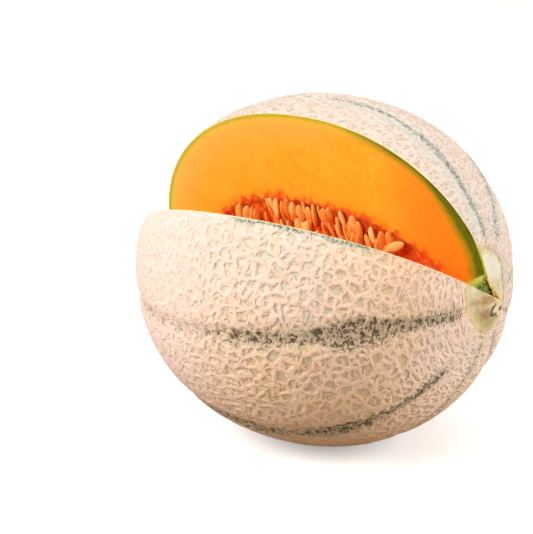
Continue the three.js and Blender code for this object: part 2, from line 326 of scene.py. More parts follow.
class NodeMaker:
    # lays nodes out in a tree from plain calls; works in shader and geometry trees alike

    def __init__(self, tree):
        self.tree = tree
        self.count = 0

    def node(self, kind, **settings):
        made = self.tree.nodes.new(kind)
        made.location = (220 * (self.count % 9), -180 * (self.count // 9))
        self.count += 1
        for name, value in settings.items():
            setattr(made, name, value)
        return made

    def feed(self, socket, value):
        if isinstance(value, bpy.types.NodeSocket):
            self.tree.links.new(value, socket)
        elif value is not None:
            socket.default_value = value

    def math(self, operation, a, b=None, clamp=False):
        made = self.node("ShaderNodeMath", operation=operation, use_clamp=clamp)
        self.feed(made.inputs[0], a)
        self.feed(made.inputs[1], b)
        return made.outputs[0]

    def plus(self, a, b):
        return self.math("ADD", a, b)

    def minus(self, a, b, clamp=False):
        return self.math("SUBTRACT", a, b, clamp)

    def times(self, a, b, clamp=False):
        return self.math("MULTIPLY", a, b, clamp)

    def vector(self, operation, a, b=None, scale=None):
        made = self.node("ShaderNodeVectorMath", operation=operation)
        self.feed(made.inputs[0], a)
        self.feed(made.inputs[1], b)
        if scale is not None:
            self.feed(made.inputs["Scale"], scale)
        return made.outputs["Value" if operation in ("DOT_PRODUCT", "LENGTH") else "Vector"]

    def ramp(self, value, low, high, toLow=0.0, toHigh=1.0):
        # a smooth change from toLow to toHigh as value runs from low to high
        made = self.node("ShaderNodeMapRange", interpolation_type="SMOOTHSTEP")
        for name, number in (
            ("Value", value),
            ("From Min", low),
            ("From Max", high),
            ("To Min", toLow),
            ("To Max", toHigh),
        ):
            self.feed(made.inputs[name], number)
        return made.outputs["Result"]

    def noise(self, place, size, detail=2.0, rough=0.5, part=0):
        made = self.node("ShaderNodeTexNoise", noise_dimensions="3D")
        self.feed(made.inputs["Vector"], place)
        made.inputs["Scale"].default_value = 1.0 / size
        made.inputs["Detail"].default_value = detail
        made.inputs["Roughness"].default_value = rough
        return made.outputs[part]

    def cellPoint(self, place, size, feature):
        # the middle of the cell that the place lies in (F1) or of the next one (F2)
        made = self.node("ShaderNodeTexVoronoi", voronoi_dimensions="3D", feature=feature)
        self.feed(made.inputs["Vector"], place)
        made.inputs["Scale"].default_value = 1.0 / size
        return made.outputs["Position"]

    def parts(self, place):
        made = self.node("ShaderNodeSeparateXYZ")
        self.feed(made.inputs[0], place)
        return [made.outputs[axis] for axis in "XYZ"]

    def blend(self, share, a, b):
        made = self.node("ShaderNodeMix", data_type="RGBA", clamp_factor=True)
        self.feed(made.inputs["Factor"], share)
        # its colour sockets, which share their names with the ones for numbers
        self.feed(made.inputs[6], a)
        self.feed(made.inputs[7], b)
        return made.outputs[2]

    def coats(self, color, look, *layers):
        # lays colours of a look over one another, each by its own share
        for share, name in layers:
            color = self.blend(share, color, look[name])
        return color


def srgb(red, green, blue):
    # a colour as seen on a screen, 0 to 255, as Blender's linear colour
    def linear(value):
        value /= 255
        return value / 12.92 if value <= 0.04045 else ((value + 0.055) / 1.055) ** 2.4

    return (linear(red), linear(green), linear(blue), 1.0)


# the net: one field of ridges, used to raise the skin and to colour it

netLook = {
    "cell": 5.8,
    "smallCell": 3.5,
    "fineCell": 1.9,
    "bend": 2.4,
    "bendSize": 8.0,
    "fray": 1.3,
    "fraySize": 1.6,
    "unevenSize": 4.0,
    "crossedSize": 6.5,
    "brokenSize": 2.0,
    "bitsSize": 3.4,
    "halfWidth": 1.75,
    "smallHalfWidth": 1.1,
    "fineHalfWidth": 0.6,
    "height": 0.00058,
    "denseHeight": 0.55,
    "cutHeight": 0.12,
}


def seamDistance(make, place, facing, size):
    # how far a point is from the seam between two cells, measured over the skin
    own = make.cellPoint(place, size, "F1")
    other = make.cellPoint(place, size, "F2")
    across = make.vector("NORMALIZE", make.vector("SUBTRACT", other, own))
    middle = make.vector("SCALE", make.vector("ADD", own, other), scale=0.5)
    straight = make.vector("DOT_PRODUCT", make.vector("SUBTRACT", middle, place), across)
    tilt = make.vector("LENGTH", make.vector("CROSS_PRODUCT", across, facing))
    return make.math("DIVIDE", straight, make.math("MAXIMUM", tilt, 0.3))


def netField(make, place, facing, dense, suture, whole):
    # place in millimetres over the skin; gives the height of the net from 0 to 1, how bare the
    # cell is, and how far from its rim
    look = netLook

    def shake(size):
        return make.vector("SUBTRACT", make.noise(place, size, part="Color"), (0.5, 0.5, 0.5))

    bend, fray = shake(look["bendSize"]), shake(look["fraySize"])
    bent = make.vector("ADD", place, make.vector("SCALE", bend, scale=look["bend"] * 2))
    bent = make.vector("ADD", bent, make.vector("SCALE", fray, scale=look["fray"]))
    large = seamDistance(make, bent, facing, look["cell"])
    small = seamDistance(make, bent, facing, look["smallCell"])
    uneven = make.ramp(make.noise(place, look["unevenSize"], detail=1.0), 0.3, 0.7, 0.7, 1.3)
    width = make.times(uneven, look["halfWidth"])
    ridge = make.ramp(make.math("DIVIDE", large, width), 0.3, 1.0, 1.0, 0.0)
    # thinner strings cross most of the cells, and leave a few open
    crossed = make.noise(place, look["crossedSize"], detail=1.0)
    crossed = make.plus(crossed, make.times(dense, 0.2))
    crossed = make.ramp(crossed, 0.45, 0.57)
    string = make.ramp(small, 0.05, look["smallHalfWidth"], 0.75, 0.0)
    ridge = make.math("MAXIMUM", ridge, make.times(string, crossed))
    inCell = make.ramp(large, 0.9, 2.1)
    bared = make.times(inCell, make.minus(1.0, crossed))
    # over a suture the net breaks up into short, fine bits
    broken = make.ramp(make.noise(place, look["brokenSize"]), 0.4, 0.55)
    lost = make.times(suture, make.minus(1.0, broken))
    ridge = make.times(ridge, make.minus(1.0, lost, clamp=True))
    fine = seamDistance(make, bent, facing, look["fineCell"])
    bits = make.times(make.ramp(fine, 0.05, look["fineHalfWidth"], 0.8, 0.0), suture)
    bits = make.times(bits, make.ramp(make.noise(place, look["bitsSize"]), 0.4, 0.6))
    ridge = make.math("MAXIMUM", ridge, bits)
    return make.times(ridge, whole, clamp=True), bared, inCell


def meridianTable():
    # how far along the skin each station lies from the stem, with the net squeezed near both ends
    along = np.cos(np.linspace(0, math.pi, 2001))
    points = np.stack([along * halfAxes[0], fullness(along) * halfAxes[2]], axis=1)
    steps = np.linalg.norm(np.diff(points, axis=0), axis=1)
    travelled = np.concatenate([[0.0], np.cumsum(steps)])
    squeeze = 1.0 + 0.9 * bell(travelled, 0.045) + 0.6 * bell(travelled - travelled[-1], 0.08)
    middle = (squeeze[1:] + squeeze[:-1]) / 2
    return along, np.concatenate([[0.0], np.cumsum(steps * middle)])


meridianAlong, meridianPlace = meridianTable()


# over which stretch each look of the skin comes in, in metres from the fruit's own centre, from
# a spot on it or from the cut; only rearTurn is in degrees, round the cut
skinZones = {
    "denseToBlossom": (-0.030, 0.045),
    "denseByStem": (0.050, 0.078),
    "rearBack": (-0.042, -0.026),
    "rearUp": (-0.03, 0.01),
    "rearTurn": (34.0, 46.0),
    "tanLow": (-0.018, 0.022),
    "tanAlong": (-0.04, 0.03),
    "tanByStem": (0.03, 0.07),
    "tanEnds": (0.072, 0.081),
    "underLow": (0.022, 0.070),
    "underEnds": (0.038, 0.062),
    "paleAlong": (0.058, 0.078),
    "paleLow": (0.004, 0.024),
    "restingSpot": (0.015, 0.024),
    "blossom": (0.004, 0.011),
    "cutEdge": (0.0002, 0.0024),
}


def sutureMasks(rest):
    # how far a point lies in the sutures' pale bands and in their dark cores
    x = rest[:, 0] * 1000
    band, middle = np.zeros(len(rest)), np.zeros(len(rest))
    for suture in sutures:
        turn, dark, left = suture["turn"], suture["dark"], suture["left"]
        apart = fromSuture(rest, suture, "coreBend") * 1000 - suture.get("aside", 0.0)
        wander = 0.4 * np.sin(x * 0.095 + turn) + 0.3 * np.sin(x * 0.21 + 2 * turn)
        width = 1 + 0.3 * np.sin(x * 0.13 + 3 * turn)
        swellAt, swellHalf, swellBy = suture.get("swell", (0.0, 1.0, 0.0))
        swell = 1 + swellBy * bell(x - swellAt, swellHalf)
        ends = suture.get("ends", 90.0)
        lasting = left + (1 - left) * smoothStep(x, -12, 26)
        lasting = lasting * (1 - smoothStep(x, ends - 6, ends + 2))
        fromBand = apart - suture.get("bandShift", 0.0)
        pale = (0.5 + 0.5 * lasting) * (dark > 0) * bell(fromBand, suture["band"])
        core = bell(apart + wander, suture["core"] * width * (0.4 + 0.6 * swell))
        band = np.maximum(band, pale)
        middle = np.maximum(middle, dark * lasting * swell * core)
    return band, middle


def paintSkinFields(mesh):
    # what the rind's material and the net read: where a point is on the skin, and what is near
    points = pointsOf(mesh) - centre
    rest = restPoint(points)
    toStem, back, up = rest.T
    along = np.interp(-toStem / halfAxes[0], -meridianAlong, meridianPlace)
    place = np.stack([along, back, up], axis=1) * 1000
    fromStem = np.linalg.norm(rest - stemScar, axis=1)
    fromBlossom = np.linalg.norm(rest - blossomScar, axis=1)
    fromSpot = np.linalg.norm(rest - restingSpot, axis=1)
    off = points - cutShift
    inWedge = [off @ openNormal(name) for name in ("rear", "front")]
    middleTurn = wedgeCut["rearAngle"] / 2 + wedgeCut["frontAngle"] / 2
    nearSide = off @ acrossAt(np.array(middleTurn)) > 0
    fromCut = np.where(nearSide, np.minimum(*np.abs(inWedge)), 1.0)
    fromLip = np.where(nearSide, -inWedge[1] * 1000, 90.0)
    aroundCut = np.degrees(np.arctan2(-(off @ cutSide), off @ cutUp))

    def over(value, name):
        return smoothStep(value, *skinZones[name])

    x = toStem * 1000
    onLip = smoothStep(x, lip["begins"] - 4, lip["begins"] + 10)
    onLip *= 1 - smoothStep(x, lip["ends"] - 8, lip["ends"] + 3)
    onLip *= bell(fromLip, lip["halfWidth"] * (1 + 0.3 * np.sin(x * 0.31)))
    zone = bareZone(rest)
    band, middle = sutureMasks(rest)
    fade = smoothStep(zone, 1.1, 1.75) * smoothStep(fromBlossom, 0.012, 0.03)
    whole = smoothStep(zone, 0.98, 1.3) * over(fromBlossom, "blossom")
    whole *= over(fromSpot, "restingSpot")
    toRear = over(back, "rearBack") * over(up, "rearUp")
    toRear *= 1 - over(aroundCut, "rearTurn")
    dense = np.maximum(over(-toStem, "denseToBlossom"), 0.8 * toRear)
    dense = np.maximum(dense, 0.45 * over(toStem, "denseByStem"))
    tanned = over(-up, "tanLow") * over(toStem, "tanAlong")
    tanned = np.maximum(tanned, 0.9 * over(toStem, "tanByStem"))
    tanned *= 1 - 0.7 * over(toStem, "tanEnds")
    underside = over(-up, "underLow")
    underside *= 1 - 0.8 * over(toStem, "underEnds")
    fromScar = points - stemScar
    fromScar[:, 0] = fromStem
    fields = {
        "netPlace": place,
        "netNormal": normalsOf(mesh, place),
        "sutureBand": band * fade,
        "sutureMiddle": middle * fade,
        "netWhole": whole,
        "netDense": dense,
        "towardRear": toRear,
        "onLip": onLip,
        "tanned": tanned * (1 - toRear),
        "underside": underside * (1 - toRear),
        "paleEnd": over(toStem, "paleAlong") * over(-up, "paleLow"),
        "scarPlace": fromScar * 1000,
        "cutNear": 1 - over(fromCut, "cutEdge"),
    }
    for name, values in fields.items():
        setField(mesh, name, values)


def raiseNet(piece):
    tree = bpy.data.node_groups.new("raiseNet", "GeometryNodeTree")
    tree.interface.new_socket("Geometry", in_out="INPUT", socket_type="NodeSocketGeometry")
    tree.interface.new_socket("Geometry", in_out="OUTPUT", socket_type="NodeSocketGeometry")
    make = NodeMaker(tree)

    def field(name, kind="FLOAT"):
        made = make.node("GeometryNodeInputNamedAttribute", data_type=kind)
        made.inputs["Name"].default_value = name
        return made.outputs["Attribute"]

    place, facing = field("netPlace", "FLOAT_VECTOR"), field("netNormal", "FLOAT_VECTOR")
    dense, suture, whole = field("netDense"), field("sutureMiddle"), field("netWhole")
    ridge, _, _ = netField(make, place, facing, dense, suture, whole)
    uneven = make.ramp(make.noise(place, 7.0), 0.3, 0.7, 0.7, 1.0)
    uneven = make.times(uneven, make.ramp(dense, 0.0, 1.0, 1.0, netLook["denseHeight"]))
    # it lies lower right along the cut
    full = netLook["height"]
    lower = make.ramp(field("cutNear"), 0.0, 1.0, full, netLook["cutHeight"] * full)
    height = make.times(make.times(ridge, uneven), lower)
    move = make.node("GeometryNodeSetPosition")
    normal = make.node("GeometryNodeInputNormal")
    tree.links.new(make.node("NodeGroupInput").outputs[0], move.inputs["Geometry"])
    make.feed(move.inputs["Offset"], make.vector("SCALE", normal.outputs[0], scale=height))
    tree.links.new(move.outputs["Geometry"], make.node("NodeGroupOutput").inputs[0])
    piece.modifiers.new("net", "NODES").node_group = tree
    return bakeModifiers(piece)


# materials

def newMaterial(name):
    material = bpy.data.materials.new(name)
    material.use_nodes = True
    tree = material.node_tree
    return material, NodeMaker(tree), tree.nodes["Principled BSDF"]


def addBump(make, shader, height, strength, distance):
    bump = make.node("ShaderNodeBump")
    bump.inputs["Strength"].default_value = strength
    bump.inputs["Distance"].default_value = distance
    make.feed(bump.inputs["Height"], height)
    make.feed(shader.inputs["Normal"], bump.outputs[0])


def letLightIn(shader, weight, radius):
    # wet plant tissue scatters light inside, the red the furthest
    shader.inputs["Subsurface Weight"].default_value = weight
    shader.inputs["Subsurface Radius"].default_value = radius
    shader.inputs["Subsurface Scale"].default_value = 1.0


def newGroup(name, entries, leaves):
    tree = bpy.data.node_groups.new(name, "ShaderNodeTree")
    for entry, kind in entries.items():
        tree.interface.new_socket(entry, in_out="INPUT", socket_type=kind)
    for leaf in leaves:
        tree.interface.new_socket(leaf, in_out="OUTPUT", socket_type="NodeSocketFloat")
    make = NodeMaker(tree)
    return make, make.node("NodeGroupInput").outputs, make.node("NodeGroupOutput").inputs


def readField(make, name, part="Fac"):
    made = make.node("ShaderNodeAttribute", attribute_name=name)
    return made.outputs[part]


def mottleGroup():
    # fine blotches and specks for grown surfaces, in millimetres
    entries = {"Place": "NodeSocketVector", "Size": "NodeSocketFloat"}
    make, entry, leave = newGroup("grownMottle", entries, ("Blotch", "Speck"))
    size = make.node("ShaderNodeCombineXYZ")
    for socket in size.inputs:
        make.feed(socket, entry["Size"])
    scaled = make.vector("DIVIDE", entry["Place"], size.outputs[0])
    blotch, speck = make.noise(scaled, 1.0, 4.0, 0.6), make.noise(scaled, 0.16, rough=0.7)
    make.feed(leave["Blotch"], make.ramp(blotch, 0.3, 0.7))
    make.feed(leave["Speck"], make.ramp(speck, 0.35, 0.65))
    return make.tree


grownMottle = mottleGroup()


def mottle(make, place, size):
    made = make.node("ShaderNodeGroup", node_tree=grownMottle)
    make.feed(made.inputs["Place"], place)
    made.inputs["Size"].default_value = size
    return made.outputs["Blotch"], made.outputs["Speck"]


rindLook = {
    "cork": srgb(232, 202, 184),
    "corkPale": srgb(242, 220, 207),
    "corkWarm": srgb(216, 175, 142),
    # painted light: the paler cork where the key light falls
    "corkLitLeft": srgb(233, 206, 195),
    "corkRear": srgb(221, 203, 192),
    "floor": srgb(218, 194, 167),
    "floorGreen": srgb(204, 202, 174),
    "floorGray": srgb(212, 207, 186),
    "floorRear": srgb(206, 190, 168),
    # the painted crease shade's brown, which the freckles share, and its paler kind
    "shadeAndFreckleBrown": srgb(176, 130, 90),
    "creaseShadePale": srgb(206, 166, 112),
    "lineRear": srgb(184, 164, 138),
    "band": srgb(190, 180, 150),
    "bandRosy": srgb(206, 182, 162),
    "bandRear": srgb(203, 207, 196),
    "dark": srgb(106, 92, 64),
    "darkest": srgb(54, 47, 31),
    "darkRear": srgb(116, 124, 120),
    "lipGray": srgb(176, 184, 168),
    "lipDark": srgb(92, 104, 78),
    "corkTan": srgb(242, 202, 158),
    # painted shade for the underside
    "bottomShade": srgb(206, 154, 102),
    "cutEdge": srgb(240, 232, 178),
    "cutGreen": srgb(188, 192, 84),
    "bare": srgb(182, 164, 122),
    "barePale": srgb(208, 194, 156),
    "tongue": srgb(220, 216, 200),
    "bareEdge": srgb(196, 184, 76),
    "scarPale": srgb(228, 206, 158),
    "scarMiddle": srgb(206, 200, 182),
    "scarBrown": srgb(166, 112, 70),
    # painted shade in the scar's crescent and hole
    "scarShade": srgb(40, 28, 20),
}


def scarGroup():
    # masks round the stem's scar; its place holds the distance from it, then how far aside and up
    names = ("Bare", "Tongue", "Edge", "Gray", "Pale", "Brown", "Middle", "Dark")
    make, entry, leave = newGroup("stemScarMasks", {"Place": "NodeSocketVector"}, names)
    place = entry["Place"]
    distance, aside, up = make.parts(place)
    wave = make.minus(make.noise(place, 2.2, detail=3.0), 0.5)

    def spot(y, z, wide, tall, torn=0.8, soft=0.3):
        off = make.vector("SUBTRACT", place, (0, y, z))
        off = make.vector("MULTIPLY", off, (0, 1 / wide, 1 / tall))
        away = make.plus(make.vector("LENGTH", off), make.times(wave, torn))
        return make.ramp(away, 1 - soft, 1 + soft, 1.0, 0.0), away

    def line(value, at, half):
        off = make.math("ABSOLUTE", make.minus(value, at))
        return make.ramp(off, 0.4 * half, half, 1.0, 0.0)

    here = make.ramp(distance, 28.0, 34.0, 1.0, 0.0)
    y, z = melonForm["bareMiddle"]
    wide, tall = melonForm["bareReach"]
    bare, zone = spot(y, z, wide, tall, torn=0.2, soft=0.1)
    make.feed(leave["Bare"], make.times(bare, here))
    tongue = make.plus(up, make.times(wave, 8.0))
    make.feed(leave["Tongue"], make.ramp(tongue, 7.0, 15.0, 0.0, 0.85))
    edges = make.math("MAXIMUM", line(zone, 0.96, 0.07), line(zone, 1.14, 0.09))
    edges = make.times(edges, make.ramp(wave, -0.2, 0.15, 0.3, 1.0))
    onLeft = make.ramp(aside, 2.0, 9.0, 1.0, 0.0)
    make.feed(leave["Edge"], make.times(make.times(edges, here), onLeft))
    rightEdge = make.times(line(zone, 1.02, 0.1), make.ramp(aside, 6.0, 11.0))
    make.feed(leave["Gray"], make.times(rightEdge, make.ramp(wave, -0.1, 0.1)))
    cosine, sine = scarForm["cosine"], scarForm["sine"]
    long, short = scarForm["long"], scarForm["short"]
    u = make.vector("DOT_PRODUCT", place, (0, cosine / long, sine / long))
    v = make.vector("DOT_PRODUCT", place, (0, -sine / short, cosine / short))
    oval = make.math("SQRT", make.plus(make.times(u, u), make.times(v, v)))
    oval = make.plus(oval, make.times(wave, 0.5))
    oval = make.plus(oval, make.ramp(distance, 9.0, 12.0, 0.0, 9.0))
    make.feed(leave["Pale"], make.ramp(oval, 1.15, 1.5, 1.0, 0.0))
    upper, _ = spot(-6.0, 5.2, 5.2, 1.9, soft=0.5)
    lower, _ = spot(-6.6, -1.2, 3.0, 2.6, soft=0.5)
    make.feed(leave["Brown"], make.math("MAXIMUM", upper, lower))
    # painted shade: a torn dark crescent on the near side of the oval, and a hole on the far side,
    # darkened where the sunk scar lies in shade
    crescent = make.times(line(oval, 0.96, 0.5), make.ramp(u, -0.3, 0.25, 1.0, 0.0))
    crescent = make.times(crescent, make.ramp(wave, -0.16, 0.04, 0.45, 1.0))
    farSide = make.vector("SUBTRACT", place, (0, 4.2, -1.0))
    hole = make.vector("LENGTH", make.vector("MULTIPLY", farSide, (0, 0.5, 0.8)))
    hole = make.ramp(make.plus(hole, make.times(wave, 1.2)), 0.5, 1.1, 0.9, 0.0)
    holes = make.times(hole, make.ramp(distance, 7.0, 9.0, 1.0, 0.0))
    make.feed(leave["Dark"], make.math("MAXIMUM", crescent, holes))
    middle = make.times(make.ramp(oval, 0.3, 0.9, 1.0, 0.0), make.ramp(wave, -0.1, 0.1, 0.5, 1.0))
    make.feed(leave["Middle"], middle)
    return make.tree


def rindMaterial():
    look = rindLook
    material, make, shader = newMaterial("nettedRind")
    place = readField(make, "netPlace", "Vector")
    dense = readField(make, "netDense")
    band = readField(make, "sutureBand")
    middle = readField(make, "sutureMiddle")
    facing = readField(make, "netNormal", "Vector")
    ridge, bared, inCell = netField(make, place, facing, dense, middle, readField(make, "netWhole"))
    blotch, _ = mottle(make, place, 14.0)
    fineBlotch, fineSpeck = mottle(make, place, 2.6)
    knob = make.ramp(make.noise(place, 1.3, rough=0.6), 0.35, 0.65)
    scar = make.node("ShaderNodeGroup", node_tree=scarGroup())
    make.feed(scar.inputs["Place"], readField(make, "scarPlace", "Vector"))

    rear = readField(make, "towardRear")
    # tanned lower down, and painted shade on the underside, darker and browner toward the bottom
    tanned = readField(make, "tanned")
    tan = make.times(tanned, make.ramp(blotch, 0.0, 1.0, 0.4, 0.8))
    bottomShade = make.times(readField(make, "underside"), make.ramp(blotch, 0.0, 1.0, 0.4, 0.75))
    cork = make.coats(
        look["cork"],
        look,
        (make.times(blotch, 0.5), "corkPale"),
        (make.ramp(fineBlotch, 0.0, 1.0, 0.4, 0.0), "corkWarm"),
        (make.times(knob, 0.5), "corkPale"),
        # painted light: paler where the net is dense, most of all toward the blossom end, where the
        # key light falls
        (make.times(dense, 0.75), "corkLitLeft"),
        (make.times(rear, 0.8), "corkRear"),
        (tan, "corkTan"),
        # painted shade: darker and browner toward the bottom
        (bottomShade, "bottomShade"),
        (make.times(readField(make, "paleEnd"), 0.6), "corkPale"),
    )
    # the floor of the cells, paler and grayer where the sun hasn't tanned it
    untanned = make.ramp(tanned, 0.0, 0.5, 0.35, 0.0)
    untanned = make.times(untanned, make.ramp(rear, 0.0, 0.5, 1.0, 0.0))
    opened = make.times(make.times(untanned, 2.4), make.minus(1.0, dense, clamp=True))
    floor = make.coats(
        look["floor"],
        look,
        (bared, "floorGreen"),
        (make.ramp(knob, 0.0, 1.0, 0.3, 0.0), "corkWarm"),
        (make.times(dense, 0.7), "corkWarm"),
    )
    floor = make.coats(
        make.blend(make.times(dense, 0.6), floor, cork),
        look,
        (make.times(rear, 0.6), "floorRear"),
        (make.times(tan, 0.4), "corkTan"),
        (untanned, "corkPale"),
        (make.times(opened, inCell), "floorGray"),
    )
    skin = make.blend(make.ramp(ridge, 0.1, 0.65), floor, cork)
    # painted shade: brown creases where the net rises from the floor, darkening the foot of each
    # ridge
    edge = make.times(make.ramp(ridge, 0.01, 0.2), make.ramp(ridge, 0.25, 0.7, 1.0, 0.0))
    edge = make.times(edge, make.ramp(fineSpeck, 0.2, 0.8, 0.3, 1.0))
    creaseShadeStrength = make.ramp(dense, 0.0, 1.0, 0.6, 0.1)
    creaseShadeStrength = make.times(creaseShadeStrength, make.ramp(untanned, 0.0, 0.35, 1.0, 0.9))
    creaseShadeStrength = make.plus(creaseShadeStrength, make.times(rear, 0.4))
    edge = make.times(edge, creaseShadeStrength)
    # the painted crease shade's colour, paler where it is untanned
    shadeAndFreckleBrown = make.blend(make.ramp(untanned, 0.0, 0.35), look["shadeAndFreckleBrown"], look["creaseShadePale"])
    skin = make.blend(edge, skin, shadeAndFreckleBrown)
    # brown specks where it is tanned, fine gray lines at the rear
    freckles = make.times(make.ramp(fineSpeck, 0.4, 0.8, 0.0, 0.5), tanned)
    freckles = make.times(freckles, make.ramp(ridge, 0.3, 0.9, 1.0, 0.35))
    skin = make.blend(freckles, skin, look["shadeAndFreckleBrown"])
    fineLines = make.noise(make.vector("MULTIPLY", place, (0.3, 1.0, 1.0)), 1.1)
    fineLines = make.ramp(fineLines, 0.5, 0.66)
    skin = make.blend(make.times(make.times(rear, fineLines), 0.4), skin, look["lineRear"])
    # the sutures' pale bands, and the dark skin in their middle between fine bits of net
    bandColor = make.blend(make.ramp(dense, 0.3, 1.0), look["band"], look["bandRosy"])
    bandColor = make.blend(rear, bandColor, look["bandRear"])
    covered = make.ramp(rear, 0.0, 1.0, 0.45, 0.68)
    pale = make.times(band, make.ramp(ridge, 0.1, 0.7, 0.85, covered))
    skin = make.blend(make.times(pale, make.ramp(fineBlotch, 0.0, 1.0, 0.7, 1.0)), skin, bandColor)
    streaks = make.vector("MULTIPLY", place, (0.35, 1.0, 1.0))
    streaks = make.noise(streaks, 1.3, detail=3.0, rough=0.6)
    patchy = make.plus(middle, make.ramp(streaks, 0.3, 0.7, -0.3, 0.3))
    between = make.ramp(ridge, 0.15, 0.6, 1.0, make.ramp(rear, 0.0, 1.0, 0.3, 0.6))
    dark = make.times(make.ramp(patchy, 0.12, 0.62, 0.0, 0.92), between)
    darkColor = make.blend(make.ramp(knob, 0.2, 0.9), look["darkest"], look["dark"])
    grayer = make.times(rear, make.ramp(knob, 0.1, 0.6, 0.55, 0.9))
    darkColor = make.blend(grayer, darkColor, look["darkRear"])
    skin = make.blend(dark, skin, darkColor)
    # the grey line along the front lip, with dark specks in it
    onLip = readField(make, "onLip")
    specks = make.ramp(make.noise(place, 1.5, detail=3.0, rough=0.65), 0.44, 0.56)
    skin = make.blend(make.times(make.ramp(onLip, 0.2, 0.7), 0.66), skin, look["lipGray"])
    specks = make.times(make.ramp(onLip, 0.3, 0.75), make.times(specks, 0.85))
    skin = make.blend(specks, skin, look["lipDark"])
    # smooth skin round the stem, and the corky scar in the middle of it
    nearScar = make.vector("MULTIPLY", readField(make, "scarPlace", "Vector"), (0.0, 1.0, 1.0))
    bareBlotch, _ = mottle(make, nearScar, 8.0)
    bareFine, _ = mottle(make, nearScar, 2.0)
    bareSkin = make.coats(
        look["bare"],
        look,
        (make.ramp(bareBlotch, 0.2, 0.8), "barePale"),
        (make.times(bareFine, 0.3), "barePale"),
        (scar.outputs["Tongue"], "tongue"),
    )
    skin = make.coats(
        make.blend(scar.outputs["Bare"], skin, bareSkin),
        look,
        (make.times(scar.outputs["Edge"], 0.6), "bareEdge"),
        (make.times(scar.outputs["Gray"], 0.6), "dark"),
        (make.times(scar.outputs["Brown"], make.ramp(bareFine, 0.1, 0.9, 0.5, 0.9)), "scarBrown"),
        (make.times(scar.outputs["Pale"], 0.8), "scarPale"),
        (make.times(scar.outputs["Middle"], 0.7), "scarMiddle"),
        # painted shade in the scar's crescent and hole
        (make.times(scar.outputs["Dark"], 0.92), "scarShade"),
    )
    cut = make.ramp(readField(make, "cutNear"), 0.88, 0.99)
    # the cut edge is pale, and greener near the stem
    nearEnd = make.ramp(make.parts(place)[0], 45.0, 75.0, 0.8, 0.0)
    green = make.times(make.ramp(make.noise(place, 1.8), 0.42, 0.58), nearEnd)
    edgeColor = make.blend(green, look["cutEdge"], look["cutGreen"])
    skin = make.blend(make.times(cut, 0.8), skin, edgeColor)

    make.feed(shader.inputs["Base Color"], skin)
    make.feed(shader.inputs["Roughness"], make.ramp(ridge, 0.0, 1.0, 0.6, 0.85))
    shader.inputs["Specular IOR Level"].default_value = 0.25
    fine = make.plus(ridge, make.times(knob, 0.35))
    addBump(make, shader, make.minus(fine, scar.outputs["Dark"]), 1.0, 0.0004)
    return material


fleshLook = {
    "skinLine": srgb(240, 226, 140),
    "rindDark": srgb(166, 160, 16),
    "rindGreen": srgb(200, 180, 34),
    "rindYellow": srgb(238, 192, 62),
    "stemRindDark": srgb(56, 60, 4),
    "stemRindGreen": srgb(108, 118, 10),
    "stemRindYellow": srgb(176, 148, 16),
    "flesh": srgb(240, 174, 30),
    "fleshPale": srgb(243, 182, 46),
    "fleshBloom": srgb(248, 184, 92),
    "fibre": srgb(250, 196, 68),
    "fibreDeep": srgb(236, 154, 20),
    "fleshDeep": srgb(248, 138, 24),
    "cavity": srgb(236, 88, 22),
    "cavityDeep": srgb(200, 54, 12),
    "stemSkinLine": srgb(196, 208, 52),
    "stemLime": srgb(68, 102, 8),
    "stemFlap": srgb(192, 208, 78),
    "stemGreen": srgb(168, 184, 104),
    # painted shade in the pits and in the gap
    "stemPitShade": srgb(70, 84, 26),
    "stemGapShade": srgb(34, 36, 12),
    "stemStrand": srgb(232, 196, 96),
    "stemBrown": srgb(160, 112, 24),
}


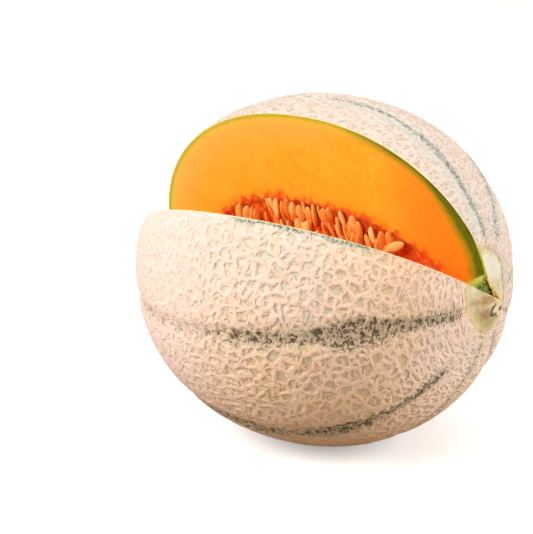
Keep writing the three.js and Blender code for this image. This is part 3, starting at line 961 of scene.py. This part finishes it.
def fleshMaterial():
    look = fleshLook
    material, make, shader = newMaterial("melonFlesh")
    place = readField(make, "fleshPlace", "Vector")
    depth = readField(make, "rindDepth")
    band = readField(make, "greenBand")
    fromCavity = readField(make, "cavityDepth")
    towardStem = readField(make, "towardStem")
    stemTissue = readField(make, "stemTissue", "Vector")
    blotch, speck = mottle(make, place, 16.0)
    fineBlotch, fineSpeck = mottle(make, place, 2.4)

    fibre = make.vector("MULTIPLY", place, (0.9, 0.7, 1.0))
    fibre = make.noise(fibre, 3.0, detail=4.0, rough=0.65)
    bloom = make.ramp(towardStem, 0.0, 0.2, 0.55, 0.0)
    bloom = make.times(bloom, make.ramp(depth, 2.0, 20.0, 1.0, 0.0))
    flesh = make.coats(
        look["flesh"],
        look,
        (blotch, "fleshPale"),
        (make.ramp(fibre, 0.48, 0.7, 0.0, 0.5), "fibre"),
        (make.ramp(fibre, 0.3, 0.48, 0.5, 0.0), "fibreDeep"),
        (bloom, "fleshBloom"),
        (make.ramp(towardStem, 0.4, 1.0, 0.0, 0.9), "fleshDeep"),
        (make.times(fineSpeck, 0.16), "fleshPale"),
    )
    # the green rind under the skin, counted in shares of its own thickness
    wavy = make.plus(make.math("DIVIDE", depth, band), make.times(blotch, 0.12))
    wavy = make.plus(wavy, make.times(fineBlotch, 0.1))
    nearStem = make.ramp(towardStem, 0.05, 0.72)
    dark, green, yellow = (
        make.blend(nearStem, look["rind" + tone], look["stemRind" + tone])
        for tone in ("Dark", "Green", "Yellow")
    )
    mossy = make.ramp(make.noise(place, 1.7, detail=3.0, rough=0.6), 0.36, 0.62)
    mossy = make.times(mossy, make.ramp(towardStem, 0.75, 1.0))
    green = make.blend(make.times(mossy, 0.75), green, look["stemLime"])
    rind = make.blend(make.ramp(wavy, 0.08, 0.32), dark, green)
    begin = make.ramp(towardStem, 0.9, 1.0, 0.0, 0.22)
    late = make.minus(wavy, begin)
    rind = make.blend(make.ramp(late, 0.32, 0.72), rind, yellow)
    ends = make.ramp(nearStem, 0.0, 1.0, 1.55, 1.3)
    color = make.blend(make.ramp(late, 0.62, ends), rind, flesh)
    # a bright line just under the skin, which thins out along the darkest green
    atStem = readField(make, "atStem")
    edge = make.blend(atStem, look["skinLine"], look["stemSkinLine"])
    edgeWidth = make.plus(make.ramp(towardStem, 0.86, 1.0, 1.0, 0.45), make.times(atStem, 2.2))
    onEdge = make.ramp(make.math("DIVIDE", depth, edgeWidth), 0.2, 0.6, 1.0, 0.0)
    color = make.blend(onEdge, color, edge)
    # soft red tissue frays out round the cavity
    streak = make.vector("MULTIPLY", place, (1.0, 0.45, 1.0))
    streak = make.noise(streak, 3.2, detail=3.0, rough=0.6)
    reach = make.minus(fromCavity, make.ramp(streak, 0.35, 0.7, 0.0, 4.6))
    color = make.blend(make.ramp(fromCavity, 1.0, 8.0, 0.4, 0.0), color, look["fleshDeep"])
    color = make.blend(make.ramp(reach, -2.4, 1.6, 0.95, 0.0), color, look["cavity"])
    wall = make.blend(speck, look["cavity"], look["cavityDeep"])
    color = make.blend(make.ramp(fromCavity, -0.6, -0.1, 1.0, 0.0), color, wall)
    # wet green tissue where the stem ran into the fruit: a pale flap, a pitted middle with painted
    # shade in its pits, painted shade in the dark gap, and yellow strands
    within, pastGap, fromMiddle = make.parts(stemTissue)
    # painted shade in the pits
    pitShade = make.ramp(make.noise(place, 0.9), 0.4, 0.58)
    stem = make.blend(pitShade, look["stemPitShade"], look["stemGreen"])
    greener = make.ramp(fineBlotch, 0.2, 0.8, 0.0, 0.7)
    flap = make.blend(greener, look["stemFlap"], look["stemGreen"])
    stem = make.blend(make.ramp(within, 2.0, 3.6, 1.0, 0.0), stem, flap)
    strands = make.noise(make.vector("MULTIPLY", place, (1.0, 0.3, 1.0)), 0.7)
    strands = make.blend(make.ramp(strands, 0.42, 0.56), look["stemBrown"], look["stemStrand"])
    stem = make.blend(make.ramp(pastGap, 0.2, 0.9), stem, strands)
    # painted shade in the sunk gap
    gap = make.ramp(make.math("ABSOLUTE", pastGap), 0.3, 0.8, 0.95, 0.0)
    gap = make.times(gap, make.ramp(make.noise(place, 1.6), 0.4, 0.55, 0.35, 1.0))
    gap = make.times(gap, make.ramp(fromMiddle, 6.0, 10.0, 1.0, 0.1))
    stem = make.blend(gap, stem, look["stemGapShade"])
    color = make.blend(make.ramp(within, -0.3, 0.3), color, stem)

    make.feed(shader.inputs["Base Color"], color)
    # wet and smooth, but for the wall of the cavity
    rough = make.ramp(fineBlotch, 0.0, 1.0, 0.3, 0.5)
    rough = make.math("MAXIMUM", rough, make.ramp(fromCavity, -0.5, 1.5, 0.75, 0.3))
    make.feed(shader.inputs["Roughness"], rough)
    letLightIn(shader, 0.2, (0.004, 0.0015, 0.0005))
    addBump(make, shader, make.plus(fineSpeck, make.times(fineBlotch, 0.7)), 0.35, 0.0002)
    return material


tissueLook = {
    "strand": srgb(254, 142, 44),
    "strandRed": srgb(240, 92, 26),
    "deep": srgb(200, 54, 12),
    "seed": srgb(255, 182, 88),
    "seedPale": srgb(255, 218, 142),
    "seedWet": srgb(252, 138, 48),
    "seedRim": srgb(252, 140, 52),
}


def tissueMaterial():
    look = tissueLook
    material, make, shader = newMaterial("seedTissue")
    place = make.node("ShaderNodeTexCoord").outputs["Object"]
    place = make.vector("SCALE", place, scale=1000.0)
    blotch, _ = mottle(make, place, 5.0)
    fineBlotch, fineSpeck = mottle(make, place, 1.4)
    color = make.blend(blotch, look["strand"], look["strandRed"])
    color = make.blend(make.times(fineBlotch, 0.5), color, look["deep"])
    make.feed(shader.inputs["Base Color"], color)
    make.feed(shader.inputs["Roughness"], make.ramp(fineSpeck, 0.0, 1.0, 0.32, 0.55))
    letLightIn(shader, 0.3, (0.003, 0.0008, 0.0003))
    addBump(make, shader, fineBlotch, 0.5, 0.0004)
    return material


def seedMaterial():
    look = tissueLook
    material, make, shader = newMaterial("melonSeeds")
    place = readField(make, "seedPlace", "Vector")
    rim = readField(make, "seedRim")
    root = readField(make, "seedRoot")
    own = readField(make, "seedTone")
    blotch, speck = mottle(make, place, 2.2)
    # pale streaks along each seed: partly its own streaky tone, partly a painted highlight
    streaks = make.noise(make.vector("MULTIPLY", place, (1.0, 0.2, 1.0)), 0.9)
    tone = make.plus(make.times(blotch, 0.4), own)
    tone = make.plus(tone, make.ramp(streaks, 0.35, 0.65, -0.2, 0.3))
    # wet tissue clings to them, most of all at the root
    wet = make.plus(make.ramp(root, 0.3, 1.0, -0.14, 0.26), make.noise(place, 2.4, detail=3.0))
    color = make.coats(
        look["seed"],
        look,
        (make.ramp(tone, 0.0, 1.0), "seedPale"),
        (make.ramp(tone, -0.3, 0.2, 0.8, 0.0), "seedWet"),
        (make.times(rim, 0.6), "seedRim"),
        (make.ramp(wet, 0.52, 0.68, 0.0, 0.9), "strand"),
        (make.ramp(wet, 0.74, 0.95, 0.0, 0.7), "strandRed"),
    )
    make.feed(shader.inputs["Base Color"], color)
    make.feed(shader.inputs["Roughness"], make.ramp(speck, 0.0, 1.0, 0.3, 0.5))
    letLightIn(shader, 0.2, (0.002, 0.001, 0.0005))
    addBump(make, shader, speck, 0.3, 0.0002)
    return material


# the netted skin

skinBuild = {
    "subdivisions": 8,
    "faces": 190000,
    "quickSubdivisions": 7,
    "sink": 0.0003,
    "scarRing": 0.0007,
    "scarDepth": 0.0009,
    "cutReach": 0.004,
}

# the scar that the stem left: a tilted oval, its half axes in mm
scarForm = {"cosine": 0.97, "sine": 0.24, "long": 4.3, "short": 2.7}


def stemScarDetail(points):
    # the corky ring that the stem left, sunk in the middle and broken round its rim
    off = (points - stemScar) * 1000
    u = off[:, 1] * scarForm["cosine"] + off[:, 2] * scarForm["sine"]
    v = off[:, 2] * scarForm["cosine"] - off[:, 1] * scarForm["sine"]
    away = np.hypot(u / scarForm["long"], v / scarForm["short"])
    away = away + np.where(off[:, 0] < -12, 9.0, 0.0)  # keeps it off the far end
    turn = np.arctan2(v, u)
    broken = 0.75 + 0.25 * np.sin(3 * turn + 0.8) + 0.15 * np.sin(7 * turn)
    ring = skinBuild["scarRing"] * broken * bell(away - 1.25, 0.25)
    return ring - skinBuild["scarDepth"] * bell(away, 0.75)


def skinShell(material):
    ball = bmesh.new()
    level = skinBuild["subdivisions"]
    bmesh.ops.create_icosphere(ball, subdivisions=level, radius=1.0)
    mesh = bpy.data.meshes.new("melonSkin")
    ball.to_mesh(mesh)
    ball.free()
    directions = pointsOf(mesh)
    points = bodyPoint(directions)
    height = reliefOf(points) + stemScarDetail(points) - skinBuild["sink"]
    points = points + outwardAt(points) * height[:, None]
    points[:, 2] = np.maximum(points[:, 2], melonForm["restingDepth"] - melonForm["halfHeight"])
    mesh.vertices.foreach_set("co", (points + centre).ravel())
    mesh.shade_smooth()
    mesh.update()
    paintSkinFields(mesh)
    mesh.materials.append(material)
    return raiseNet(addObject("melonSkin", mesh))


def cutWedge(skin):
    # both cuts go only through the faces near the wedge, and then those inside it go
    rear, front = openNormal("rear"), openNormal("front")
    line = Vector(cutShift + centre)
    knife = bmesh.new()
    knife.from_mesh(skin.data)

    def inside(face, least):
        middle = np.array(face.calc_center_median()) - cutShift - centre
        return middle @ rear > least and middle @ front > least

    for normal in (rear, front):
        near = [face for face in knife.faces if inside(face, -skinBuild["cutReach"])]
        corners = list({corner for face in near for corner in face.verts})
        edges = list({edge for face in near for edge in face.edges})
        bmesh.ops.bisect_plane(
            knife, geom=near + corners + edges, dist=1e-6, plane_co=line, plane_no=Vector(normal)
        )
    gone = [face for face in knife.faces if inside(face, 0)]
    bmesh.ops.delete(knife, geom=gone, context="FACES")
    knife.to_mesh(skin.data)
    knife.free()


def thinOut(skin):
    faces = sum(len(face.vertices) - 2 for face in skin.data.polygons)
    if faces > skinBuild["faces"]:
        fewer = skin.modifiers.new("fewer", "DECIMATE")
        fewer.ratio = skinBuild["faces"] / faces
        bakeModifiers(skin)
    # nothing of it goes under the floor
    points = pointsOf(skin.data)
    points[:, 2] = np.maximum(points[:, 2], 0.0)
    skin.data.vertices.foreach_set("co", points.ravel())


def rimPoints(skin, name):
    # the skin's edge along one cut face, from the stem end to the blossom end
    edges = bmesh.new()
    edges.from_mesh(skin.data)
    rim = np.array([v.co[:] for v in edges.verts if v.is_boundary]) - centre - cutShift
    edges.free()
    rim = rim[np.abs(rim @ openNormal(name)) < 5e-5]
    return rim @ cutAlong, rim @ acrossAt(np.array(wedgeCut[name + "Angle"]))


# the flesh: two cut faces and the wall of the seed cavity, one mesh

fleshBuild = {
    "fan": -0.005,
    "rings": 46,
    "cavityStations": 120,
    "cavityTurns": 130,
    "bandThin": 4.4,
    "bandThick": 8.6,
    "wallLump": 0.0012,
    "wallLumpSize": 0.007,
    "plugStart": 74.2,
    "plugEdge": 6.1,
    "plugSpread": 0.69,
    "plugRise": 0.0013,
    "plugLump": 0.0008,
    "gapAt": 86.9,
    "gapLean": 0.31,
    "gapDepth": 0.0022,
    "sharpAngle": 40,
    "thickens": (0.055, 0.084),
    "towardStem": (0.0, 0.075),
    "atStem": (0.0800, 0.0832),
}


def rayToCavity(angles, degrees):
    # distance from the fan's centre to the cavity's edge, along each ray of a cut face
    low, high = np.zeros(len(angles)), np.full(len(angles), 0.09)
    for _ in range(40):
        middle = (low + high) / 2
        along = fleshBuild["fan"] + middle * np.cos(angles)
        inside = middle * np.sin(angles) < cavityEdge(along, degrees)
        inside &= (along > cavityStart) & (along < cavityEnd)
        low, high = np.where(inside, middle, low), np.where(inside, high, middle)
    return low


def stemTissuePlace(points):
    # in mm: how far inside the edge of the green tissue at the stem's root, which is a cone, how
    # far past the gap behind it, and how far from the cut line
    look = fleshBuild
    off = (points - cutShift) * 1000
    along = off @ cutAlong
    radius = np.linalg.norm(off - along[:, None] * cutAlong, axis=1)
    edge = look["plugEdge"] + look["plugSpread"] * (along - look["plugStart"])
    within = (edge - radius) / 1.21
    within = np.where(along > look["plugStart"] - 8, within, -9.0)
    pastGap = along - (look["gapAt"] - look["gapLean"] * radius)
    return np.stack([within, pastGap, radius], axis=1)


def raiseStemTissue(points, depth):
    # lumpy tissue stands out of the rear face, with a gap before the strands along the skin
    look = fleshBuild
    within, pastGap, radius = stemTissuePlace(points).T
    lumps = roughness3(points, 0.0018, 8.0)
    height = smoothStep(within, -0.4, 1.6) * (look["plugRise"] + look["plugLump"] * lumps)
    height *= smoothStep(radius, 0.3, 2.5) * smoothStep(depth, 0.0, 0.8)
    gap = bell(pastGap, 0.6) * smoothStep(within, 0.0, 1.0) * look["gapDepth"]
    return points + (height - gap * smoothStep(radius, 1.0, 4.0))[:, None] * openNormal("rear")


def cutFace(skin, name):
    # a fan of rays from a middle inside the cavity, each from the cavity's edge to the skin's
    degrees = wedgeCut[name + "Angle"]
    along, radius = rimPoints(skin, name)
    angles = np.arctan2(np.maximum(radius, 0.0), along - fleshBuild["fan"])
    order = np.argsort(angles)
    angles, along, radius = angles[order], along[order], np.maximum(radius[order], 0.0)
    outer = np.hypot(along - fleshBuild["fan"], radius)
    inner = rayToCavity(angles, degrees)
    shares = np.linspace(0, 1, fleshBuild["rings"])[:, None]
    reach = inner + (outer - inner) * shares
    t = fleshBuild["fan"] + reach * np.cos(angles)
    r = reach * np.sin(angles)
    points = onCut(t, r, float(degrees)).reshape(-1, 3)
    depth = ((outer - reach) * 1000).ravel()
    fromCavity = ((reach - inner) * 1000).ravel()
    faces = gridFaces(fleshBuild["rings"], len(angles))
    if name == "rear":
        faces = faces[:, ::-1]
        points = raiseStemTissue(points, depth)
    flat = np.stack([t.ravel(), r.ravel(), np.full(t.size, 0.02 * degrees)], axis=1) * 1000
    return points, faces, depth, fromCavity, flat


def cavityWall():
    look = fleshBuild
    front, rear = wedgeCut["frontAngle"], wedgeCut["rearAngle"] + 360
    share = (1 - np.cos(np.linspace(0, math.pi, look["cavityStations"]))) / 2
    along = (cavityStart + (cavityEnd - cavityStart) * share)[:, None]
    turn = np.linspace(front, rear, look["cavityTurns"])[None, :]
    along, turn = np.broadcast_arrays(along, turn)
    radius = cavityEdge(along, turn)
    points = onCut(along, radius, turn).reshape(-1, 3)
    # lumpy, but for where it meets the cut faces
    edgeFade = np.minimum(turn - front, rear - turn).ravel()
    lumps = roughness3(points, look["wallLumpSize"], 2.0) * look["wallLump"]
    lumps = lumps * smoothStep(edgeFade, 0.0, 12.0)
    lumps *= smoothStep(radius.ravel(), 0.0, 0.01)
    points += acrossAt(turn.ravel()) * lumps[:, None]
    faces = gridFaces(look["cavityStations"], look["cavityTurns"])
    # its depths under the skin and past the cavity's edge are past the ends of their ranges
    depth, fromCavity = np.full(len(points), 40.0), np.full(len(points), -2.0)
    return points, faces, depth, fromCavity, points * 1000


def fleshPiece(skin, material):
    parts = [cutFace(skin, "rear"), cutFace(skin, "front"), cavityWall()]
    points, _, depth, fromCavity, flat = (np.concatenate(kind) for kind in zip(*parts))
    starts = np.cumsum([0] + [len(part[0]) for part in parts[:-1]])
    faces = np.concatenate([part[1] + start for part, start in zip(parts, starts)])
    flesh = addPiece("melonFlesh", points + centre, faces, material)
    mesh = flesh.data
    along = (points - cutShift) @ cutAlong
    setField(mesh, "rindDepth", depth)
    setField(mesh, "cavityDepth", fromCavity)
    setField(mesh, "fleshPlace", flat)
    look = fleshBuild
    thicker = (look["bandThick"] - look["bandThin"]) * smoothStep(along, *look["thickens"])
    setField(mesh, "greenBand", look["bandThin"] + thicker)
    for name in ("towardStem", "atStem"):
        setField(mesh, name, smoothStep(along, *look[name]))
    setField(mesh, "stemTissue", stemTissuePlace(points))
    weld = bmesh.new()
    weld.from_mesh(mesh)
    bmesh.ops.remove_doubles(weld, verts=weld.verts, dist=2e-6)
    weld.to_mesh(mesh)
    weld.free()
    mesh.shade_smooth()
    mesh.set_sharp_from_angle(angle=math.radians(look["sharpAngle"]))
    return flesh


# the seed tissue and the seeds

coreBuild = {
    "share": 0.998,
    "recess": 0.0018,
    "rimRecess": 0.0003,
    "endGap": 0.001,
    "stations": 190,
    "turns": 60,
    "faceRows": 60,
    "lump": 0.0009,
    "lumpSize": 0.0045,
    "stringSize": 0.0035,
}


def corePiece(material):
    # a spindle of wet tissue less the wedge, with cut faces that sink in from the cavity's edge
    look = coreBuild
    start, end = cavityStart + look["endGap"], cavityEnd - look["endGap"]
    share = (1 - np.cos(np.linspace(0.02, math.pi - 0.02, look["stations"]))) / 2
    along = start + (end - start) * share
    front, rear = wedgeCut["frontAngle"], wedgeCut["rearAngle"]
    half = math.radians(front - rear) / 2
    middleTurn = (front + rear) / 2
    apex = look["recess"] / math.sin(half)
    # one closed section: out along the front face, round the back, in along the rear face
    out = np.linspace(0.0, 1.0, look["faceRows"], endpoint=False)
    section = [(reach, front, "front") for reach in out]
    section += [(1.0, degrees, "") for degrees in np.linspace(front, rear + 360, look["turns"])]
    section += [(reach, rear + 360, "rear") for reach in out[:0:-1]]
    deep = smoothStep(cavityRadius(along), 0.004, 0.016)
    columns = []
    for reach, degrees, face in section:
        edge = cavityEdge(along, degrees) * look["share"]
        radius = edge * reach
        column = onCut(along, radius, degrees)
        if reach == 0:
            column = column - (deep * apex)[:, None] * acrossAt(np.array(middleTurn))
        elif face:
            inward = smoothStep(edge - radius, 0.0003, 0.004)
            recess = look["rimRecess"] + (look["recess"] - look["rimRecess"]) * inward
            column = column - (deep * recess)[:, None] * openNormal(face)
        columns.append(column)
    points = np.stack(columns, axis=1)
    flat = points.reshape(-1, 3)
    lumps = roughness3(flat, look["lumpSize"], 5.0, 4) * look["lump"]
    strings = roughness3(flat * np.array([2.4, 0.6, 0.6]), look["stringSize"], 9.0)
    strings = strings * look["lump"] * 0.8
    inside = onCut(along, np.full(len(along), 0.010), np.full(len(along), middleTurn + 180))
    outward = points - inside[:, None, :]
    outward /= np.linalg.norm(outward, axis=2)[..., None] + 1e-9
    onFace = np.array([1 - reach ** 12 if face else 0.0 for reach, _, face in section])
    amount = (lumps + strings - 0.3 * look["lump"]).reshape(points.shape[:2])
    amount = amount * deep[:, None] * onFace[None, :]
    points = (points + outward * amount[..., None]).reshape(-1, 3)
    faces = gridFaces(len(along), len(section), close=True).tolist()
    count = len(section)
    faces.append(list(range(count)))
    faces.append(list(range((len(along) - 1) * count, len(along) * count))[::-1])
    return addPiece("seedTissue", points + centre, faces, material)


seedBuild = {
    "length": 0.0122,
    "width": 0.0042,
    "thickness": 0.0019,
    "smallest": 0.88,
    "spread": 0.34,
    "rings": 13,
    "sides": 14,
    "pitch": 0.0029,
    "rows": [(-0.0002, 0.0004), (0.0075, 0.0010), (0.0150, 0.0012)],
    "scatter": 0.0050,
    "skipped": 0.14,
    "leastWall": 0.0135,
    "leastTip": 0.013,
    "alongEnd": 0.040,
    "lean": 0.2,
    "looseAlong": 0.0459,
    "looseRadius": 0.0227,
    "looseLean": 61.6,
    "looseSize": 1.16,
}


def seedShape():
    # one flat seed, tip at the top, root at the bottom, thinner toward its rim, with shares for how
    # near its rim and its root each point is
    look = seedBuild
    share = (1 - np.cos(np.linspace(0.06, math.pi - 0.03, look["rings"]))) / 2
    outline = np.sin(np.pi * share ** 0.86) ** 0.62 * (1 - 0.18 * share)
    outline /= outline.max()
    turn = np.linspace(0, 2 * math.pi, look["sides"], endpoint=False)
    across, through = np.cos(turn), np.sin(turn)
    body = 1 - 0.25 * np.abs(across) ** 3
    x = outline[:, None] * across[None, :] * look["width"] / 2
    z = (outline ** 0.75)[:, None] * (through * body)[None, :] * look["thickness"] / 2
    y = np.broadcast_to((-share * look["length"])[:, None], x.shape)
    points = np.stack([x, y, z], axis=-1).reshape(-1, 3)
    points = np.concatenate([points, [[0, 0, 0], [0, -look["length"], 0]]])
    faces = gridFaces(look["rings"], look["sides"], close=True).tolist()
    count, last = look["sides"], (look["rings"] - 1) * look["sides"]
    tip, root = len(points) - 2, len(points) - 1
    faces += [[tip, (i + 1) % count, i] for i in range(count)]
    faces += [[root, last + i, last + (i + 1) % count] for i in range(count)]
    rim = np.concatenate([np.broadcast_to(np.abs(across) ** 4, x.shape).ravel(), [1.0, 1.0]])
    down = np.concatenate([np.broadcast_to(share[:, None], x.shape).ravel(), [0.0, 1.0]])
    return points, faces, rim, down


def turned(points, axis, radians):
    return points @ np.array(Matrix.Rotation(radians, 3, axis)).T


def seedPlaces():
    # for each seed: its turn about its length, its lean along the row and into the tissue, how far
    # out its tip is, the cut face's angle, how far the seed stands off it, and where along
    look = seedBuild
    for face, inward in (("rear", 1), ("front", -1)):
        degrees = wedgeCut[face + "Angle"]
        for tipDepth, recess in look["rows"]:
            along = cavityStart + look["pitch"] * rng.random()
            while along < look["alongEnd"]:
                place = along + look["pitch"] * 0.4 * (rng.random() - 0.5)
                along += look["pitch"] * (0.8 + 0.4 * rng.random())
                wall = float(cavityRadius(np.array(place), degrees))
                draws = rng.random(6)
                tip = wall - tipDepth - look["scatter"] * draws[0] ** 1.5
                if wall < look["leastWall"] or tip < look["leastTip"]:
                    continue
                if draws[5] < look["skipped"]:
                    continue
                yield (
                    math.pi * draws[1],
                    look["lean"] * (2 * draws[2] - 1),
                    inward * (0.06 + 0.12 * draws[3]),
                    tip,
                    degrees,
                    inward * (recess - 0.0012 * draws[4]),
                    place,
                )


def seedsPiece(material):
    shape, shapeFaces, shapeRim, shapeDown = seedShape()
    look = seedBuild
    points, faces, rims, roots, tones, places = [], [], [], [], [], []
    spots = list(seedPlaces())
    # and the loose one that lies on its own
    spots.append((
        math.pi / 2,
        math.radians(look["looseLean"]),
        0.0,
        look["looseRadius"],
        wedgeCut["rearAngle"],
        -0.0012,
        look["looseAlong"],
    ))
    for number, (spin, lean, into, tip, degrees, out, along) in enumerate(spots):
        loose = number == len(spots) - 1
        size = look["looseSize"] if loose else look["smallest"] + look["spread"] * rng.random()
        seed = turned(shape * size, "Y", spin)
        seed = turned(seed, "X", lean)
        seed = turned(seed, "Z", into)
        seed = seed + np.array([out, tip, 0.0])
        seed = turned(seed, "Z", math.radians(degrees)) + np.array([0.0, 0.0, along])
        world = cutShift + seed[:, :1] * cutSide + seed[:, 1:2] * cutUp + seed[:, 2:3] * cutAlong
        start = sum(len(p) for p in points)
        points.append(world)
        faces += [[i + start for i in face] for face in shapeFaces]
        rims.append(shapeRim)
        roots.append(shapeDown)
        own = 1.1 * rng.random() - 0.5
        tones.append(np.full(len(shape), 0.25 if loose else own))
        places.append(shape * 1000 + rng.random(3) * 200)
    piece = addPiece("melonSeeds", np.concatenate(points) + centre, faces, material)
    setField(piece.data, "seedRim", np.concatenate(rims))
    setField(piece.data, "seedRoot", np.concatenate(roots))
    setField(piece.data, "seedTone", np.concatenate(tones))
    setField(piece.data, "seedPlace", np.concatenate(places))
    return piece


strandBuild = {
    "perFace": 95,
    "endGap": 0.002,
    "leastWall": 0.014,
    "lastRear": 0.047,
    "sides": 7,
    "steps": 9,
    "thick": (0.0004, 0.0012),
    "reach": (0.006, 0.012),
    "sway": 0.010,
}


def strandsPiece(material):
    # wet strings that tie the tissue to the cavity's wall, along both cut faces
    look = strandBuild
    points, faces = [], []
    start, end = cavityStart + look["endGap"], cavityEnd - look["endGap"]
    ring = np.linspace(0, 2 * math.pi, look["sides"], endpoint=False)
    low, high = look["thick"]
    for face in ("rear", "front"):
        degrees = wedgeCut[face + "Angle"]
        for i in range(look["perFace"]):
            along = start + (end - start) * (i + rng.random()) / look["perFace"]
            wall = float(cavityRadius(np.array(along), degrees))
            if wall < look["leastWall"]:
                continue
            draws = rng.random(8)
            if face == "rear" and along > look["lastRear"]:
                continue
            top = wall + 0.0006
            bottom = max(0.001, wall - look["reach"][0] - look["reach"][1] * draws[0])
            share = np.linspace(0, 1, look["steps"])
            depth = 0.0004 + 0.0032 * draws[1] + 0.0025 * share * draws[2]
            sway = (draws[3] - 0.5) * look["sway"] * share
            sway = sway + 0.0012 * np.sin(share * 5 + 9 * draws[4])
            radius = top + (bottom - top) * share
            path = (
                cutShift
                + (along + sway)[:, None] * cutAlong
                + radius[:, None] * acrossAt(np.array(float(degrees)))
                - depth[:, None] * openNormal(face)
            )
            width = low + (high - low) * draws[5]
            swell = width * (0.45 + 0.55 * np.abs(2 * share - 1) ** 1.5)
            first = sum(len(p) for p in points)
            tube = (
                path[:, None, :]
                + swell[:, None, None] * 0.6 * np.cos(ring)[None, :, None] * cutAlong
                + swell[:, None, None] * 1.1 * np.sin(ring)[None, :, None] * openNormal(face)
            )
            points.append(tube.reshape(-1, 3))
            faces += (gridFaces(look["steps"], look["sides"], close=True) + first).tolist()
            last = first + (look["steps"] - 1) * look["sides"]
            faces.append([first + j for j in range(look["sides"])][::-1])
            faces.append([last + j for j in range(look["sides"])])
    points = np.concatenate(points) + centre
    return addPiece("tissueStrands", points, faces, material)


# the room: floor, lights and camera

cameraView = {
    "place": (0.4619, -0.7251, 0.2678),
    "azimuth": 34.24,
    "elevation": 17.26,
    "lens": 132.5,
}


def addCamera():
    camera = bpy.data.cameras.new("viewCamera")
    camera.lens = cameraView["lens"]
    camera.sensor_width = 36.0
    camera.clip_end = 50
    piece = addObject("viewCamera", camera)
    azimuth, elevation = math.radians(cameraView["azimuth"]), math.radians(cameraView["elevation"])
    forward = Vector((
        -math.cos(elevation) * math.sin(azimuth),
        math.cos(elevation) * math.cos(azimuth),
        -math.sin(elevation),
    ))
    piece.location = Vector(cameraView["place"]) + Vector(centre)
    piece.rotation_euler = forward.to_track_quat("-Z", "Y").to_euler()
    bpy.context.scene.camera = piece


studio = {
    "floorHalf": 12.0,
    "air": (1.0, 0.9, 0.8),
    "airStrength": 0.44,
    "floorSeen": (0.93, 0.93, 0.93, 1.0),
    "floorBounce": (0.42, 0.37, 0.32, 1.0),
    "floorGlow": 0.36,
    "key": {"place": (-0.66, -1.08, 0.88), "size": 0.8, "power": 23.9},
    "top": {"place": (-0.05, 0.3, 1.3), "size": 1.2, "power": 5.4},
    "right": {"place": (1.1, 0.35, 0.55), "size": 0.7, "power": 12.5},
    "aim": (0.0, 0.0, 0.08),
}


def addFloor():
    half = studio["floorHalf"]
    floor = bpy.data.meshes.new("studioFloor")
    corners = [(-half, -half, 0), (half, -half, 0), (half, half, 0), (-half, half, 0)]
    floor.from_pydata(corners, [], [(0, 1, 2, 3)])
    material, make, shader = newMaterial("studioFloor")
    # pale to the eye, with less light thrown back up under the fruit than it seems
    seen = make.node("ShaderNodeLightPath").outputs["Is Camera Ray"]
    paper = make.noise(make.node("ShaderNodeTexCoord").outputs["Object"], 0.03)
    color = make.blend(seen, studio["floorBounce"], studio["floorSeen"])
    make.feed(shader.inputs["Base Color"], color)
    make.feed(shader.inputs["Roughness"], make.ramp(paper, 0.3, 0.7, 0.55, 0.65))
    shader.inputs["Emission Color"].default_value = (1, 1, 1, 1)
    make.feed(shader.inputs["Emission Strength"], make.times(seen, studio["floorGlow"]))
    floor.materials.append(material)
    addObject("studioFloor", floor)


def addAir():
    # the camera sees plain white, and the room's own light is softer and warmer
    world = bpy.data.worlds.new("studioAir")
    world.use_nodes = True
    make = NodeMaker(world.node_tree)
    glow = world.node_tree.nodes["Background"]
    glow.inputs["Color"].default_value = (*studio["air"], 1)
    glow.inputs["Strength"].default_value = studio["airStrength"]
    white = make.node("ShaderNodeBackground")
    white.inputs["Color"].default_value = (1, 1, 1, 1)
    mix = make.node("ShaderNodeMixShader")
    make.feed(mix.inputs[0], make.node("ShaderNodeLightPath").outputs["Is Camera Ray"])
    make.feed(mix.inputs[1], glow.outputs[0])
    make.feed(mix.inputs[2], white.outputs[0])
    make.feed(world.node_tree.nodes["World Output"].inputs["Surface"], mix.outputs[0])
    bpy.context.scene.world = world


def addLights():
    for name in ("key", "top", "right"):
        light = bpy.data.lights.new(name + "Light", "AREA")
        light.size = studio[name]["size"]
        light.energy = studio[name]["power"]
        lamp = addObject(name + "Light", light)
        lamp.location = studio[name]["place"]
        aim = Vector(studio["aim"]) - lamp.location
        lamp.rotation_euler = aim.to_track_quat("-Z", "Y").to_euler()
    bpy.context.scene.view_settings.view_transform = "Standard"


# making it all

addCamera()
addFloor()
addAir()
addLights()
say("camera and room")

skin = skinShell(rindMaterial())
say("skin raised")
cutWedge(skin)
thinOut(skin)
paintSkinFields(skin.data)
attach(skin, "root")
say(f"skin cut, {len(skin.data.polygons)} faces")

flesh = fleshPiece(skin, fleshMaterial())
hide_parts("fruit_body")
say(f"flesh, {len(flesh.data.polygons)} faces")

tissue = tissueMaterial()
core = corePiece(tissue)
strands = strandsPiece(tissue)
seeds = seedsPiece(seedMaterial())
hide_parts("seed_core")
counts = [len(piece.data.polygons) for piece in (core, strands, seeds)]
say(f"tissue, strands and seeds, {counts} faces")

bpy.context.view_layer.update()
say("done")
